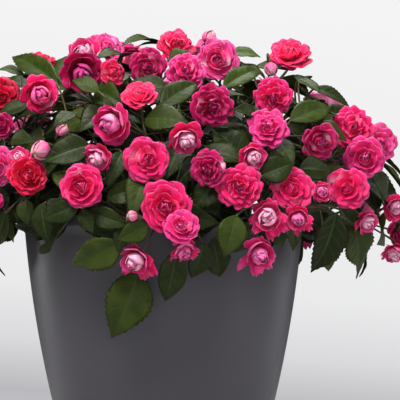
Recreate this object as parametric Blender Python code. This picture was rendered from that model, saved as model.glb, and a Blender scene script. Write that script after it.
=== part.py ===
"""A double busy lizzie, grown into a mound over a round tapered planter.

The planter and its compost are turned shapes. Leafy stems stand in holes in the compost and fan
out to a half ellipsoid, the mound. Blooms sit on the mound in sprays of one to three, each spray
on stalks that meet at the end of a stem's side shoot. Leaves fill the mound between them.
All shapes are worked out in millimetres and turned into metres when the objects are made.
The origin is the centre of the planter's foot, +Z is up, and the show side faces -Y.
"""

import itertools
import math
import random
from dataclasses import dataclass, field, replace

import bmesh
import bpy
from mathutils import Matrix, Vector
from mathutils.bvhtree import BVHTree

MM = 0.001

# Planter, compost and mound
POT_HEIGHT = 260.0
POT_RIM_RADIUS = 139.0
POT_FOOT_RADIUS = 90.0
POT_STRAIGHTNESS = 0.38  # share of the taper that is even; the rest gathers towards the foot
POT_WALL = 5.0
POT_LIP = 9.0  # width of the rolled rim
POT_FOOT_RING = 12.0
POT_FOOT_RECESS = 3.0
POT_FOOT_PAD = 42.0  # radius of the pad in the middle of the underside
POT_FLOOR_TOP = 9.0
POT_SIDES = 32
POT_INNER_SIDES = 16
COMPOST_TOP = 246.0
COMPOST_LUMP = 3.0
FIT_GAP = 0.3
MOUND_RADIUS = 236.0
MOUND_RISE = 170.0
MOUND_DROP = 108.0
MOUND_CENTRE = 264.0  # height of the mound's widest level
MOUND_BACK_SLOPE = 0.10  # how much lower the crown is at the back
HANG_DEPTH = 0.62  # how far under the skirt the hanging leaves stay, squared and in mound radii

# Stems
STEM_RADIUS = 3.4
SHOOT_RADIUS = 1.7
STALK_RADIUS = 1.2
NECK = 9.0  # straight length of a stalk under its bloom
STALK_ROOT = 0.5  # radius of its end inside the spray's first stalk
STEM_DEPTH = 24.0  # how deep a stem stands in the compost
STEM_REACH = 0.70  # how far a stem goes from the mound's centre to its skin
# Whorls of stems: how many, degrees from the top, degrees of the first from +X, reach of the holes
STEM_WHORLS = ((3, 26.0, 250.0, 34.0), (5, 60.0, 270.0, 66.0), (7, 93.0, 257.0, 99.0))

# Leaves
LEAF_RIB_THICKNESS = 1.9
LEAF_FOLD = 0.30
PETIOLE_RADIUS = 1.2
PETIOLE_ROOT = 0.5  # radius of its end inside the stem
# Outline of half a blade: (place along the rib, share of the half width), with a notch after each tooth
LEAF_OUTLINE = ((0.11, 0.60), (0.36, 1.00), (0.43, 0.86), (0.72, 0.64))
LEAF_BROADEST = 0.40

# Bloom forms, in bloom radii: rim = (radius, height, notch radius as a share), well = (radius, height)
BLOOM_FORMS = {
    "open": {
        "rims": ((1.00, 0.02, 0.78), (0.72, 0.30, 0.80), (0.42, 0.46, 1.00)),
        "wells": ((0.46, 0.05), (0.25, 0.18)),
        "heart": 0.34,
    },
    "cup": {
        "rims": ((1.00, 0.16, 0.72), (0.68, 0.56, 0.82), (0.40, 0.74, 1.00)),
        "wells": ((0.44, 0.06), (0.34, 0.44)),
        "heart": 0.86,
    },
}
BLOOM_BASE = -0.45  # height of the calyx under the bloom's middle
BUD_RINGS = ((0.62, 0.10), (0.95, 0.75), (0.70, 1.45))
BUD_TIP = 1.85

# Looks: colour (linear red, green, blue) and roughness
PLANTER_LOOK = ((0.075, 0.073, 0.080), 0.42)
COMPOST_LOOK = ((0.045, 0.030, 0.020), 0.95)
LEAF_LOOK = ((0.050, 0.110, 0.030), 0.45)
PETAL_LOOKS = {
    "hot": ((0.80, 0.020, 0.130), 0.5),
    "rose": ((0.78, 0.060, 0.220), 0.5),
    "deep": ((0.52, 0.010, 0.130), 0.5),
    "coral": ((0.82, 0.030, 0.070), 0.5),
    "red": ((0.70, 0.015, 0.050), 0.5),
    "pale": ((0.86, 0.300, 0.480), 0.5),
    "white": ((0.90, 0.520, 0.640), 0.5),
}

# Blooms of the show side, placed by hand as a grower would turn the pot: across x, height z,
# diameter, the way it faces (right, up), form and tone
SHOW_BLOOMS = (
    (126, 421, 44, 0.05, 0.75, "open", "coral"),
    (12, 428, 40, 0.10, 0.60, "open", "rose"),
    (-56, 426, 36, 0.50, 0.55, "open", "pale"),
    (-78, 419, 36, -0.35, 0.35, "cup", "white"),
    (-126, 412, 36, -0.10, 0.80, "open", "coral"),
    (53, 413, 43, 0.20, 0.20, "open", "pale"),
    (22, 401, 42, 0.10, 0.20, "open", "rose"),
    (-15, 406, 38, 0.00, -0.10, "open", "deep"),
    (-80, 400, 42, 0.10, -0.15, "cup", "deep"),
    (-50, 400, 28, 0.50, 0.10, "open", "coral"),
    (-162, 377, 44, 0.10, 0.10, "open", "red"),
    (-121, 378, 40, 0.10, 0.00, "cup", "rose"),
    (-23, 378, 36, -0.10, 0.70, "open", "coral"),
    (48, 367, 44, 0.10, -0.10, "open", "deep"),
    (108, 375, 42, 0.10, 0.00, "open", "rose"),
    (-50, 350, 44, -0.45, -0.20, "cup", "white"),
    (-160, 348, 26, -0.20, -0.20, "open", "deep"),
    (187, 346, 44, 0.10, 0.20, "open", "hot"),
    (216, 332, 38, 0.50, 0.00, "open", "pale"),
    (199, 316, 42, 0.05, -0.05, "open", "rose"),
    (103, 346, 42, -0.10, 0.40, "open", "rose"),
    (154, 332, 38, 0.30, -0.30, "open", "deep"),
    (22, 335, 36, 0.30, -0.50, "cup", "pale"),
    (88, 317, 30, 0.30, -0.20, "cup", "pale"),
    (-16, 314, 46, 0.00, 0.00, "open", "hot"),
    (-63, 316, 32, -0.50, -0.40, "cup", "white"),
    (-141, 316, 24, 0.00, 0.50, "cup", "pale"),
    (-163, 308, 38, -0.10, -0.10, "open", "pale"),
    (-133, 299, 40, 0.20, 0.30, "open", "red"),
    (-79, 288, 46, -0.10, 0.10, "open", "hot"),
    (44, 305, 38, -0.20, -0.10, "open", "deep"),
    (75, 288, 46, 0.00, 0.00, "open", "hot"),
    (126, 286, 44, 0.00, 0.05, "open", "hot"),
    (156, 283, 22, 0.10, 0.00, "cup", "pale"),
    (181, 287, 42, 0.00, 0.05, "open", "hot"),
    (2, 268, 50, 0.00, 0.00, "open", "hot"),
    (103, 259, 38, -0.10, -0.05, "cup", "white"),
    (132, 257, 28, 0.00, -0.30, "cup", "pale"),
    (229, 267, 28, 0.50, -0.10, "cup", "pale"),
    (-170, 275, 28, -0.30, 0.00, "open", "deep"),
    (18, 249, 36, 0.12, 0.38, "open", "rose"),
    (200, 254, 26, 0.50, -0.50, "cup", "white"),
    (237, 243, 34, 0.50, -0.10, "open", "deep"),
    (21, 226, 28, 0.20, -0.70, "cup", "pale"),
    (93, 222, 38, 0.35, -0.45, "cup", "rose"),
    (-26, 217, 38, -0.40, -0.45, "cup", "white"),
    (229, 223, 26, 0.10, -0.80, "cup", "pale"),
    (105, 410, 15, 0.20, -0.90, "bud", "white"),
    (-101, 340, 15, 0.45, 0.60, "bud", "white"),
    (-114, 326, 22, -0.60, -0.30, "bud", "pale"),
    (-27, 259, 12, -0.60, 0.10, "bud", "pale"),
)
# The rest of the mound takes blooms by rule, on a golden spiral
SPIRAL_BLOOMS = 112
SPIRAL_TURN = math.pi * (3 - math.sqrt(5))
BLOOM_SPACING = 57.0
SHOW_SIDE_LEFT = -178.0
SHOW_SIDE_DEPTH = -8.0  # nearer the front than this, only the blooms placed by hand stand
EASE_MOVES = (0, 4, 8, -4, 12, -8, 16, 20, -12, 24, 28, -16, 32, 36, 40, -20, 44, -26, 50, 56)
CLEARANCE = 0.5  # kept between neighbours while they are placed
SPRAY_REACH = 74.0
SPRAY_BLOOMS = 3

# Leaves of the show side: blade base (x, z), tip (x, z), width
SHOW_LEAVES = (
    ((-106, 393), (-152, 419), 26),
    ((-99, 396), (-93, 420), 24),
    ((-140, 402), (-166, 405), 16),
    ((-126, 397), (-94, 383), 17),
    ((-64, 384), (-90, 394), 18),
    ((-70, 388), (-42, 370), 26),
    ((-132, 372), (-166, 356), 18),
    ((-150, 337), (-126, 332), 18),
    ((-88, 363), (-107, 347), 17),
    ((-70, 358), (-98, 345), 28),
    ((-72, 330), (-117, 312), 32),
    ((-40, 324), (-54, 287), 21),
    ((-4, 434), (-42, 427), 18),
    ((-42, 424), (-66, 414), 18),
    ((4, 388), (-32, 392), 17),
    ((-2, 370), (36, 391), 27),
    ((-18, 356), (28, 349), 30),
    ((6, 417), (31, 420), 20),
    ((60, 388), (98, 403), 22),
    ((68, 424), (97, 417), 18),
    ((92, 362), (68, 364), 15),
    ((84, 312), (46, 348), 36),
    ((58, 300), (28, 262), 32),
    ((72, 260), (60, 218), 30),
    ((126, 355), (166, 367), 26),
    ((122, 354), (152, 336), 22),
    ((150, 352), (182, 333), 22),
    ((112, 338), (128, 306), 22),
    ((98, 300), (130, 312), 27),
    ((142, 292), (188, 303), 27),
    ((211, 309), (217, 275), 22),
    ((196, 298), (234, 270), 30),
    ((134, 398), (156, 380), 18),
    ((150, 389), (186, 364), 17),
    ((172, 262), (145, 203), 38),
    ((190, 250), (193, 208), 36),
    ((-42, 232), (-90, 212), 36),
    ((-24, 202), (-51, 138), 48),
    ((14, 224), (2, 174), 28),
    ((-136, 275), (-133, 250), 20),
    ((-120, 272), (-112, 232), 24),
    ((-100, 276), (-112, 256), 20),
    ((-80, 266), (-68, 242), 17),
    ((-14, 250), (-45, 236), 22),
    ((110, 250), (117, 228), 17),
    ((40, 232), (28, 197), 26),
    ((50, 236), (56, 198), 26),
    ((-156, 262), (-166, 218), 32),
    ((-172, 290), (-160, 258), 26),
)
SPIRAL_LEAVES = 132
SHOW_LEAF_DEPTH = -70.0  # nearer the front than this, every other leaf by rule is left out
PETIOLE_REACH = 90.0
# How a leaf is bent clear, in turn: slid sideways and along; its base and its tip moved; rolled
LEAF_SLIDES = ((0, 0), (5, 0), (-5, 0), (0, 6), (0, -6), (9, 0), (-9, 0))
LEAF_MOVES = [
    (base, tip, roll)
    for roll in (0.0, 0.35, -0.35)
    for base in (0.0, 6.0, 12.0, -6.0, 18.0, 25.0, 32.0)
    for tip in (0.0, -8.0, 8.0, -16.0, 16.0)
]
LEAF_LENGTHS = (46.0, 66.0)
LEAF_SLENDERNESS = (0.48, 0.60)  # width as a share of the length


# ---------------------------------------------------------------- solids from rings


@dataclass
class Shape:
    """A closed body: points in millimetres, and triangles that face out."""

    points: list
    faces: list

    def placed(self, matrix):
        return Shape([matrix @ point for point in self.points], self.faces)

    def tree(self):
        return BVHTree.FromPolygons(self.points, self.faces)


def zipped(lower, upper):
    """Triangles of the band between two rings of (turn, index), each in order of turn."""
    faces = []
    low = up = 0
    while low < len(lower) or up < len(upper):
        next_low = lower[(low + 1) % len(lower)][0] + (low + 1) // len(lower)
        next_up = upper[(up + 1) % len(upper)][0] + (up + 1) // len(upper)
        here, above = lower[low % len(lower)][1], upper[up % len(upper)][1]
        if low < len(lower) and (up >= len(upper) or next_low <= next_up):
            low += 1
            face = (here, lower[low % len(lower)][1], above)
        else:
            up += 1
            face = (here, upper[up % len(upper)][1], above)
        if len(set(face)) == 3:
            faces.append(face)
    return faces


def loft(rings, around=False):
    """The closed body through rings of (turn, point). around joins the last ring to the first."""
    points, bands = [], []
    for ring in rings:
        bands.append([(turn, len(points) + k) for k, (turn, _) in enumerate(ring)])
        points += [Vector(point) for _, point in ring]
    faces = []
    for lower, upper in zip(bands, bands[1:]):
        faces += zipped(lower, upper)
    if around:
        faces += zipped(bands[-1], bands[0])
    else:
        first, last = [k for _, k in bands[0]], [k for _, k in bands[-1]]
        faces += [(first[0], b, a) for a, b in zip(first[1:], first[2:])]
        faces += [(last[0], a, b) for a, b in zip(last[1:], last[2:])]
    return Shape(points, faces)


def circle(radius, height, sides, phase=0.0):
    """A level ring of (turn, point) round the Z axis."""
    ring = []
    for k in range(sides):
        turn = (k + phase) / sides
        angle = 2 * math.pi * turn
        ring.append((turn, (radius * math.cos(angle), radius * math.sin(angle), height)))
    return ring


def across(direction):
    """Two unit vectors square to a direction, and to each other."""
    helper = Vector((0, 0, 1)) if abs(direction.z) < 0.9 else Vector((1, 0, 0))
    first = direction.cross(helper).normalized()
    return first, direction.cross(first).normalized()


def sweep_rings(path, radii, sides):
    """Rings of a round stem along a path, each square to it."""
    rings, first = [], None
    for k, point in enumerate(path):
        ahead = path[min(k + 1, len(path) - 1)] - path[max(k - 1, 0)]
        ahead.normalize()
        if first is None:
            first = across(ahead)[0]
        first = (first - ahead * first.dot(ahead)).normalized()
        second = ahead.cross(first)
        ring = []
        for side in range(sides):
            angle = 2 * math.pi * side / sides
            out = first * math.cos(angle) + second * math.sin(angle)
            ring.append((side / sides, point + out * radii[k]))
        rings.append(ring)
    return rings


def bezier(a, b, c, d, steps):
    """Points of a cubic curve from a to d, steered by b and c."""
    path = []
    for k in range(steps + 1):
        t = k / steps
        s = 1 - t
        path.append(a * s**3 + b * 3 * s * s * t + c * 3 * s * t * t + d * t**3)
    return path


# ---------------------------------------------------------------- planter and compost


def pot_radius(height):
    """Outer radius of the planter's side at a height."""
    down = 1 - height / POT_HEIGHT
    taper = POT_STRAIGHTNESS * down + (1 - POT_STRAIGHTNESS) * down * down
    return POT_RIM_RADIUS - (POT_RIM_RADIUS - POT_FOOT_RADIUS) * taper


def planter_shape():
    """The planter: underside with its pad and ring, side, rolled rim, inside and floor."""
    edge = 3.0
    ring_inner = POT_FOOT_RADIUS - edge - POT_FOOT_RING
    side_levels = (edge, 60.0, 120.0, 185.0, POT_HEIGHT - 14.0)
    inner_levels = (POT_HEIGHT - 14.0, 120.0, POT_FLOOR_TOP)
    under = [
        circle(POT_FOOT_PAD, 0.0, POT_INNER_SIDES),
        circle(POT_FOOT_PAD, POT_FOOT_RECESS, POT_INNER_SIDES),
        circle(ring_inner, POT_FOOT_RECESS, POT_INNER_SIDES),
    ]
    profile = [(ring_inner, 0.0), (POT_FOOT_RADIUS - edge, 0.0)]
    profile += [(pot_radius(level), level) for level in side_levels]
    profile += [
        (POT_RIM_RADIUS + 1.5, POT_HEIGHT - 10.0),
        (POT_RIM_RADIUS + 1.5, POT_HEIGHT - 2.5),
        (POT_RIM_RADIUS - 1.5, POT_HEIGHT),
        (POT_RIM_RADIUS - POT_LIP + 2.0, POT_HEIGHT),
        (POT_RIM_RADIUS - POT_LIP, POT_HEIGHT - 2.5),
    ]
    rings = [circle(radius, height, POT_SIDES) for radius, height in profile]
    inner = [circle(pot_radius(level) - POT_WALL, level, POT_INNER_SIDES) for level in inner_levels]
    return loft([circle(0.0, 0.0, 1), *under, *rings, *inner, circle(0.0, POT_FLOOR_TOP, 1)])


def compost_shape():
    """The compost that fills the planter, lumpy on top."""
    lumps = random.Random("compost")
    floor = POT_FLOOR_TOP + FIT_GAP
    rings = [circle(0.0, floor, 1)]
    for level in (floor, 120.0, COMPOST_TOP):
        fit = pot_radius(level) - POT_WALL - 2 * FIT_GAP
        rings.append(circle(fit, level, POT_INNER_SIDES))
    for share in (0.72, 0.36):
        height = COMPOST_TOP + COMPOST_LUMP
        ring = circle(POT_RIM_RADIUS * share, height, POT_INNER_SIDES // 2)
        rings.append([(turn, (x, y, z + lumps.uniform(-3, 2))) for turn, (x, y, z) in ring])
    rings.append(circle(0.0, COMPOST_TOP + 2 * COMPOST_LUMP, 1))
    return loft(rings)


# ---------------------------------------------------------------- the mound


def mound_point(polar, azimuth, depth=1.0):
    """The mound's point at an angle from the top and an angle from +X, depth 1 at its skin."""
    rise = MOUND_RISE if polar < math.pi / 2 else MOUND_DROP
    radius = MOUND_RADIUS * math.sin(polar)
    x, y = radius * math.cos(azimuth), radius * math.sin(azimuth)
    lower = 1 - MOUND_BACK_SLOPE * max(y, 0.0) / MOUND_RADIUS
    z = rise * math.cos(polar) * lower
    return Vector((x * depth, y * depth, MOUND_CENTRE + z * depth))


def mound_front(x, z):
    """The skin's point that shows from the front at x and z; past the skin, where leaves hang."""
    height = z - MOUND_CENTRE
    rise = MOUND_RISE if height > 0 else MOUND_DROP
    free = 1 - (x / MOUND_RADIUS) ** 2 - (height / rise) ** 2
    if height < 0:
        free = max(free, HANG_DEPTH * (1 - (x / MOUND_RADIUS) ** 2))
    return Vector((x, -MOUND_RADIUS * math.sqrt(max(free, 0.0)), z))


def mound_normal(point):
    """The way out of the mound at a point of its skin."""
    height = point.z - MOUND_CENTRE
    rise = MOUND_RISE if height > 0 else MOUND_DROP
    slope = Vector((point.x / MOUND_RADIUS**2, point.y / MOUND_RADIUS**2, height / rise**2))
    return slope.normalized()


def spiral(count, first_polar, last_polar):
    """Evenly spread (polar, azimuth) from near the top down to the skirt."""
    top, low = math.cos(first_polar), math.cos(last_polar)
    for k in range(count):
        yield math.acos(top + (low - top) * (k + 0.5) / count), k * SPIRAL_TURN


# ---------------------------------------------------------------- plant pieces


@dataclass
class Bloom:
    centre: Vector
    facing: Vector
    diameter: float
    form: str
    tone: str
    seed: str
    stalk: list = field(default_factory=list)
    stalk_radii: list = field(default_factory=list)

    @property
    def foot(self):
        """Where the stalk meets the calyx."""
        drop = 0.0 if self.form == "bud" else -BLOOM_BASE
        return self.centre - self.facing * (drop * self.diameter / 2)


@dataclass
class Leaf:
    base: Vector
    tip: Vector
    normal: Vector
    width: float
    arch: float
    root: Vector = None

    @property
    def chord(self):
        return (self.tip - self.base).normalized()

    @property
    def side(self):
        return self.chord.cross(self.normal).normalized()

    def moved(self, base_shift, tip_shift, roll):
        """A copy with its ends shifted and its blade rolled about its chord."""
        base, tip = self.base + base_shift, self.tip + tip_shift
        chord = (tip - base).normalized()
        flat = self.normal - chord * self.normal.dot(chord)
        normal = Matrix.Rotation(roll, 3, chord) @ flat.normalized()
        return Leaf(base, tip, normal, self.width, self.arch)


@dataclass
class Spray:
    name: str
    blooms: list
    stem: int
    anchor: Vector = None
    shoot: list = field(default_factory=list)


def petal_rim(radius, height, notch, points_per_petal, phase, jitter):
    """A whorl's edge: five petals, each with shoulders or one crest, and a notch between two."""
    crests = {3: (-0.27, 0.27), 2: (0.0,), 1: (0.0,)}[points_per_petal]
    ring = []
    for petal in range(5):
        reach = jitter.uniform(0.94, 1.05)
        for place in crests:
            lift = 0.07 * place + jitter.uniform(-0.03, 0.03)
            ring.append((petal + phase + place, radius * reach, height + lift))
        if points_per_petal > 1:
            ring.append((petal + phase + 0.5, radius * notch, height - 0.04))
    return sorted((place / 5 % 1.0, reach, lift) for place, reach, lift in ring)


def bloom_rings(bloom):
    """The bloom's rings from calyx to heart, as (turn, point) in its own axes."""
    jitter = random.Random(bloom.seed)
    size = bloom.diameter / 2
    calyx = 0.09 * size + 1.0
    if bloom.form == "bud":
        rings = [circle(STALK_RADIUS, 0.0, 3)]
        rings += [circle(size * radius, size * height, 5) for radius, height in BUD_RINGS]
        return [*rings, circle(0.0, size * BUD_TIP, 1)]
    form = BLOOM_FORMS[bloom.form]
    rings = [circle(calyx, BLOOM_BASE * size, 3)]
    for whorl, (radius, height, notch) in enumerate(form["rims"]):
        edge = petal_rim(radius, height, notch, 3 - whorl, 0.5 * whorl, jitter)
        ring = []
        for turn, reach, lift in edge:
            angle = 2 * math.pi * turn
            point = (reach * math.cos(angle), reach * math.sin(angle), lift)
            ring.append((turn, Vector(point) * size))
        rings.append(ring)
        if whorl < len(form["wells"]):
            radius, height = form["wells"][whorl]
            rings.append(circle(radius * size, height * size, 5, phase=0.5 * whorl))
    return [*rings, circle(0.0, form["heart"] * size, 1)]


def bloom_matrix(bloom):
    """The turn and place of a bloom: its +Z is the way it faces."""
    spin = random.Random(bloom.seed + "spin").uniform(0, 2 * math.pi)
    turn = bloom.facing.to_track_quat("Z", "Y").to_matrix().to_4x4()
    return Matrix.Translation(bloom.centre) @ turn @ Matrix.Rotation(spin, 4, "Z")


def bloom_shape(bloom):
    """The bloom, with its stalk once that is known."""
    matrix = bloom_matrix(bloom)
    rings = [[(turn, matrix @ Vector(p)) for turn, p in ring] for ring in bloom_rings(bloom)]
    if not bloom.stalk:
        return loft(rings)
    stalk = sweep_rings([*bloom.stalk, bloom.foot], [*bloom.stalk_radii, STALK_RADIUS], 3)[:-1]
    # each stalk ring starts at the corner that is nearest the calyx's first
    for ring in stalk:
        start = min(range(3), key=lambda k: (ring[k][1] - rings[0][0][1]).length)
        ring[:] = [(k / 3, ring[(start + k) % 3][1]) for k in range(3)]
    return loft(stalk + rings)


def leaf_point(leaf, along, over, lift=0.0):
    """A point of the arched and folded blade: along the rib 0 to 1, over to its side in mm."""
    half = leaf.arch / 2
    length = (leaf.tip - leaf.base).length
    angle = half - leaf.arch * along
    scale = length / (2 * math.sin(half))
    forward = (math.sin(half) - math.sin(angle)) * scale
    rise = (math.cos(angle) - math.cos(half)) * scale
    side = leaf.side
    up = side.cross(leaf.chord)
    out = up * math.cos(angle) - leaf.chord * math.sin(angle)
    middle = leaf.base + leaf.chord * forward + up * rise
    return middle + side * over + out * (lift + LEAF_FOLD * abs(over))


def leaf_shape(leaf, swell=0.0):
    """The blade, thickest along its rib and sharp at its edge, and its petiole if it has a root."""
    half_width = leaf.width / 2 + swell
    thickness = LEAF_RIB_THICKNESS + 2 * swell
    reach = PETIOLE_RADIUS + swell
    down = leaf_point(leaf, 0, 0, -1) - leaf_point(leaf, 0, 0)
    keel_way = down
    if leaf.root is not None:
        ahead = (leaf.base - leaf.root).normalized()
        root_side = (leaf.side - ahead * leaf.side.dot(ahead)).normalized()
        root_down = ahead.cross(root_side)
        # the petiole meets the blade in a mitre, so that it keeps its thickness round the bend
        keel_way = (root_down + down).normalized()
        keel_way /= max(keel_way.dot(down), 0.6)
    points = [
        leaf_point(leaf, 0, -reach, swell),
        leaf_point(leaf, 0, reach, swell),
        leaf_point(leaf, 0, 0, swell) + keel_way * thickness,
        leaf_point(leaf, LEAF_BROADEST, 0, swell),
        leaf_point(leaf, LEAF_BROADEST, 0, swell - thickness),
        leaf_point(leaf, 1 + swell / 40, 0),
    ]
    left, right, keel, rib_top, rib_under, tip = range(6)
    faces = [(left, right, rib_top)]
    for corner, sign in ((left, -1), (right, 1)):
        chain = [corner]
        for along, share in LEAF_OUTLINE:
            chain.append(len(points))
            points.append(leaf_point(leaf, along, sign * share * half_width))
        chain.append(tip)
        found = [(a, b, rib_top) for a, b in zip(chain, chain[1:])]
        found += [(b, a, rib_under) for a, b in zip(chain[1:], chain[2:])]
        found += [(chain[1], corner, keel), (chain[1], keel, rib_under)]
        faces += found if sign > 0 else [(a, c, b) for a, b, c in found]
    if leaf.root is None:
        return Shape(points, [*faces, (left, keel, right)])
    root = len(points)
    size = PETIOLE_ROOT + swell
    points += [
        leaf.root - root_side * size,
        leaf.root + root_side * size,
        leaf.root + root_down * size,
    ]
    for a, b in ((left, right), (right, keel), (keel, left)):
        faces += [(b, a, root + a), (b, root + a, root + b)]
    faces.append((root + left, root + keel, root + right))
    return Shape(points, faces)


# ---------------------------------------------------------------- clearances


class Crowd:
    """What already stands in the mound, so that the next piece can be bent clear of it."""

    def __init__(self):
        self.members = []

    def add(self, owner, shape):
        self.members.append((owner, *bounds(shape), shape.tree()))

    def clear(self, shape, ignore=()):
        low, high = bounds(shape)
        tree = None
        for owner, other_low, other_high, other in self.members:
            if owner in ignore or any(
                low[k] > other_high[k] or high[k] < other_low[k] for k in range(3)
            ):
                continue
            tree = tree or shape.tree()
            if tree.overlap(other):
                return False
        return True


def bounds(shape):
    low = [min(point[k] for point in shape.points) for k in range(3)]
    high = [max(point[k] for point in shape.points) for k in range(3)]
    return low, high


# ---------------------------------------------------------------- layout


def stem_paths():
    """The main axis of each leafy stem, upright in its hole and then arching to its own region."""
    paths = []
    for count, polar, first, spread in STEM_WHORLS:
        for k in range(count):
            angle = math.radians(first + 360.0 * k / count)
            end = mound_point(math.radians(polar), angle, STEM_REACH)
            out = Vector((math.cos(angle), math.sin(angle), 0.0))
            foot = out * spread
            foot.z = COMPOST_TOP + COMPOST_LUMP - STEM_DEPTH
            neck = foot + Vector((0, 0, STEM_DEPTH + 4.0))
            outer = polar > 80.0
            rise = neck + Vector((0, 0, 52.0 if outer else 30.0))
            over = end - out * 30.0 * math.sin(math.radians(polar))
            over.z = end.z + 44.0 if outer else end.z - 20.0
            paths.append([foot, *bezier(neck, rise, over, end, 4)])
    return paths


def show_bloom(index, row):
    x, z, diameter, right, up, form, tone = row
    toward = -math.sqrt(max(1 - right * right - up * up, 0.04))
    facing = Vector((right, toward, up)).normalized()
    centre = mound_front(x, z)
    return Bloom(centre, facing, float(diameter), form, tone, f"show bloom {index}")


def rule_bloom(index, polar, azimuth):
    draw = random.Random(f"rule bloom {index}")
    point = mound_point(polar, azimuth)
    wander = Vector([draw.uniform(-0.35, 0.35) for _ in range(3)])
    facing = (mound_normal(point) + wander).normalized()
    form = draw.choices(("open", "cup"), (3, 1))[0]
    tone = draw.choice(("hot", "hot", "rose", "rose", "deep", "pale", "coral"))
    if draw.random() < 0.08:
        return Bloom(point, facing, 16.0, "bud", "pale", f"rule bloom {index}")
    return Bloom(point, facing, draw.uniform(36.0, 47.0), form, tone, f"rule bloom {index}")


def place_blooms(crowd):
    """The blooms of the show side and then of the rest, each moved until it is clear."""
    blooms = [show_bloom(k, row) for k, row in enumerate(SHOW_BLOOMS)]
    for bloom in blooms:
        ease(bloom, Vector((0, -1, 0)), crowd)
    places = spiral(SPIRAL_BLOOMS, math.radians(8), math.radians(112))
    for index, (polar, azimuth) in enumerate(places):
        bloom = rule_bloom(index, polar, azimuth)
        at_front = bloom.centre.y < SHOW_SIDE_DEPTH and bloom.centre.x > SHOW_SIDE_LEFT
        near = min((bloom.centre - other.centre).length for other in blooms)
        if at_front or near < BLOOM_SPACING:
            continue
        ease(bloom, mound_normal(bloom.centre), crowd)
        blooms.append(bloom)
    return blooms


def ease(bloom, way, crowd):
    """Moves a bloom along a way, out more than in, until it clears the others, and adds it."""
    start = bloom.centre.copy()
    for move in EASE_MOVES:
        bloom.centre = start + way * move
        grown = bloom_shape(replace(bloom, diameter=bloom.diameter + 2 * CLEARANCE))
        if crowd.clear(grown):
            break
    else:
        raise ValueError(f"{bloom.seed} finds no clear place")
    crowd.add(bloom.seed, grown)
    neck = [bloom.foot, bloom.foot - bloom.facing * NECK]
    crowd.add(bloom.seed, loft(sweep_rings(neck, [STALK_RADIUS + 2 * CLEARANCE] * 2, 3)))


def nearest_stem(point, ends):
    return min(range(len(ends)), key=lambda k: (ends[k] - point).length)


def group_sprays(blooms, paths):
    """Neighbours share a spray, and each spray is carried by the stem that ends nearest."""
    ends = [path[-1] for path in paths]
    waiting = dict(enumerate(blooms))
    sprays = []
    while waiting:
        first = waiting[next(iter(waiting))]
        mates = sorted(waiting, key=lambda k: (waiting[k].centre - first.centre).length)
        chosen = [
            k
            for k in mates[:SPRAY_BLOOMS]
            if (waiting[k].centre - first.centre).length < SPRAY_REACH
        ]
        group = [waiting.pop(k) for k in chosen]
        middle = sum((bloom.centre for bloom in group), Vector()) / len(group)
        name = f"bloom_spray_{len(sprays) + 1:02d}"
        sprays.append(Spray(name, group, nearest_stem(middle, ends)))
    return sprays


def shoot_path(stem_path, anchor, foot_way):
    """A side shoot from the stem to the anchor, arriving along foot_way."""
    start = min(stem_path[2:], key=lambda point: (point - anchor).length)
    reach = (anchor - start).length
    return bezier(start, start + (anchor - start) * 0.3, anchor - foot_way * reach * 0.3, anchor, 2)


def lay_spray(spray, stem, crowd):
    """Finds an anchor whose shoot and stalks run clear, trying others round the first in turn."""
    feet = [bloom.foot for bloom in spray.blooms]
    middle = sum(feet, Vector()) / len(feet)
    inward = -mound_normal(middle)
    first, second = across(inward)
    own_axes = {axis for axis, _ in stem["axes"]}
    for attempt in range(900):
        turn = attempt * SPIRAL_TURN
        reach = 2.2 * math.sqrt(attempt)
        wander = (first * math.cos(turn) + second * math.sin(turn)) * reach
        depth = 22.0 + 5.0 * (attempt % 6)
        spray.anchor = middle + inward * depth + wander
        away = (middle - spray.anchor).normalized()
        spray.shoot = shoot_path(stem["axes"][0][1], spray.anchor, away)
        way = (spray.shoot[-1] - spray.shoot[-2]).normalized()
        joint = spray.anchor + way * 8.0
        for k, bloom in enumerate(spray.blooms):
            bend = bloom.foot - bloom.facing * NECK
            bloom.stalk = [joint, bend]
            bloom.stalk_radii = [STALK_ROOT, STALK_RADIUS]
            if k == 0:
                bloom.stalk.insert(0, spray.anchor + way * FIT_GAP)
                bloom.stalk_radii = [SHOOT_RADIUS + 0.3, SHOOT_RADIUS, STALK_RADIUS]
        ahead = min((b.stalk[-1] - joint).normalized().dot(way) for b in spray.blooms)
        if len(spray.blooms) > 1 and ahead < 0.15:
            continue
        shoot = shoot_shape(spray, CLEARANCE)
        stalks = [stalk_shape(bloom, CLEARANCE) for bloom in spray.blooms]
        tree = shoot_shape(spray).tree()
        if (
            crowd.clear(shoot, own_axes)
            and all(crowd.clear(s, {b.seed}) for s, b in zip(stalks, spray.blooms))
            and not any(stalk_shape(bloom).tree().overlap(tree) for bloom in spray.blooms)
            and not any(stalk.tree().overlap(tree) for stalk in stalks[1:])
        ):
            break
    else:
        raise ValueError(f"{spray.name} finds no clear way")
    for stalk in stalks:
        crowd.add(spray.name, stalk)
    crowd.add(stem["name"] + spray.name, shoot)


def stalk_shape(bloom, swell=0.0):
    path = [*bloom.stalk, bloom.foot]
    radii = [*bloom.stalk_radii, STALK_RADIUS]
    return loft(sweep_rings(path, [radius + 2 * swell for radius in radii], 3))


def shoot_shape(spray, swell=0.0):
    return loft(sweep_rings(spray.shoot, [SHOOT_RADIUS + 2 * swell] * len(spray.shoot), 3))


def stem_shape(path):
    radii = [STEM_RADIUS * (1 - 0.09 * k) for k in range(len(path))]
    return loft(sweep_rings(path, radii, 4))


def closest_on(path, point):
    """The point of a path, short of its end, that is nearest to a point."""
    spots = []
    for a, b in zip(path, path[1:]):
        along = b - a
        share = max(0.15, min(0.85, (point - a).dot(along) / along.length_squared))
        spots.append(a + along * share)
    return min(spots, key=lambda spot: (spot - point).length)


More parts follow.
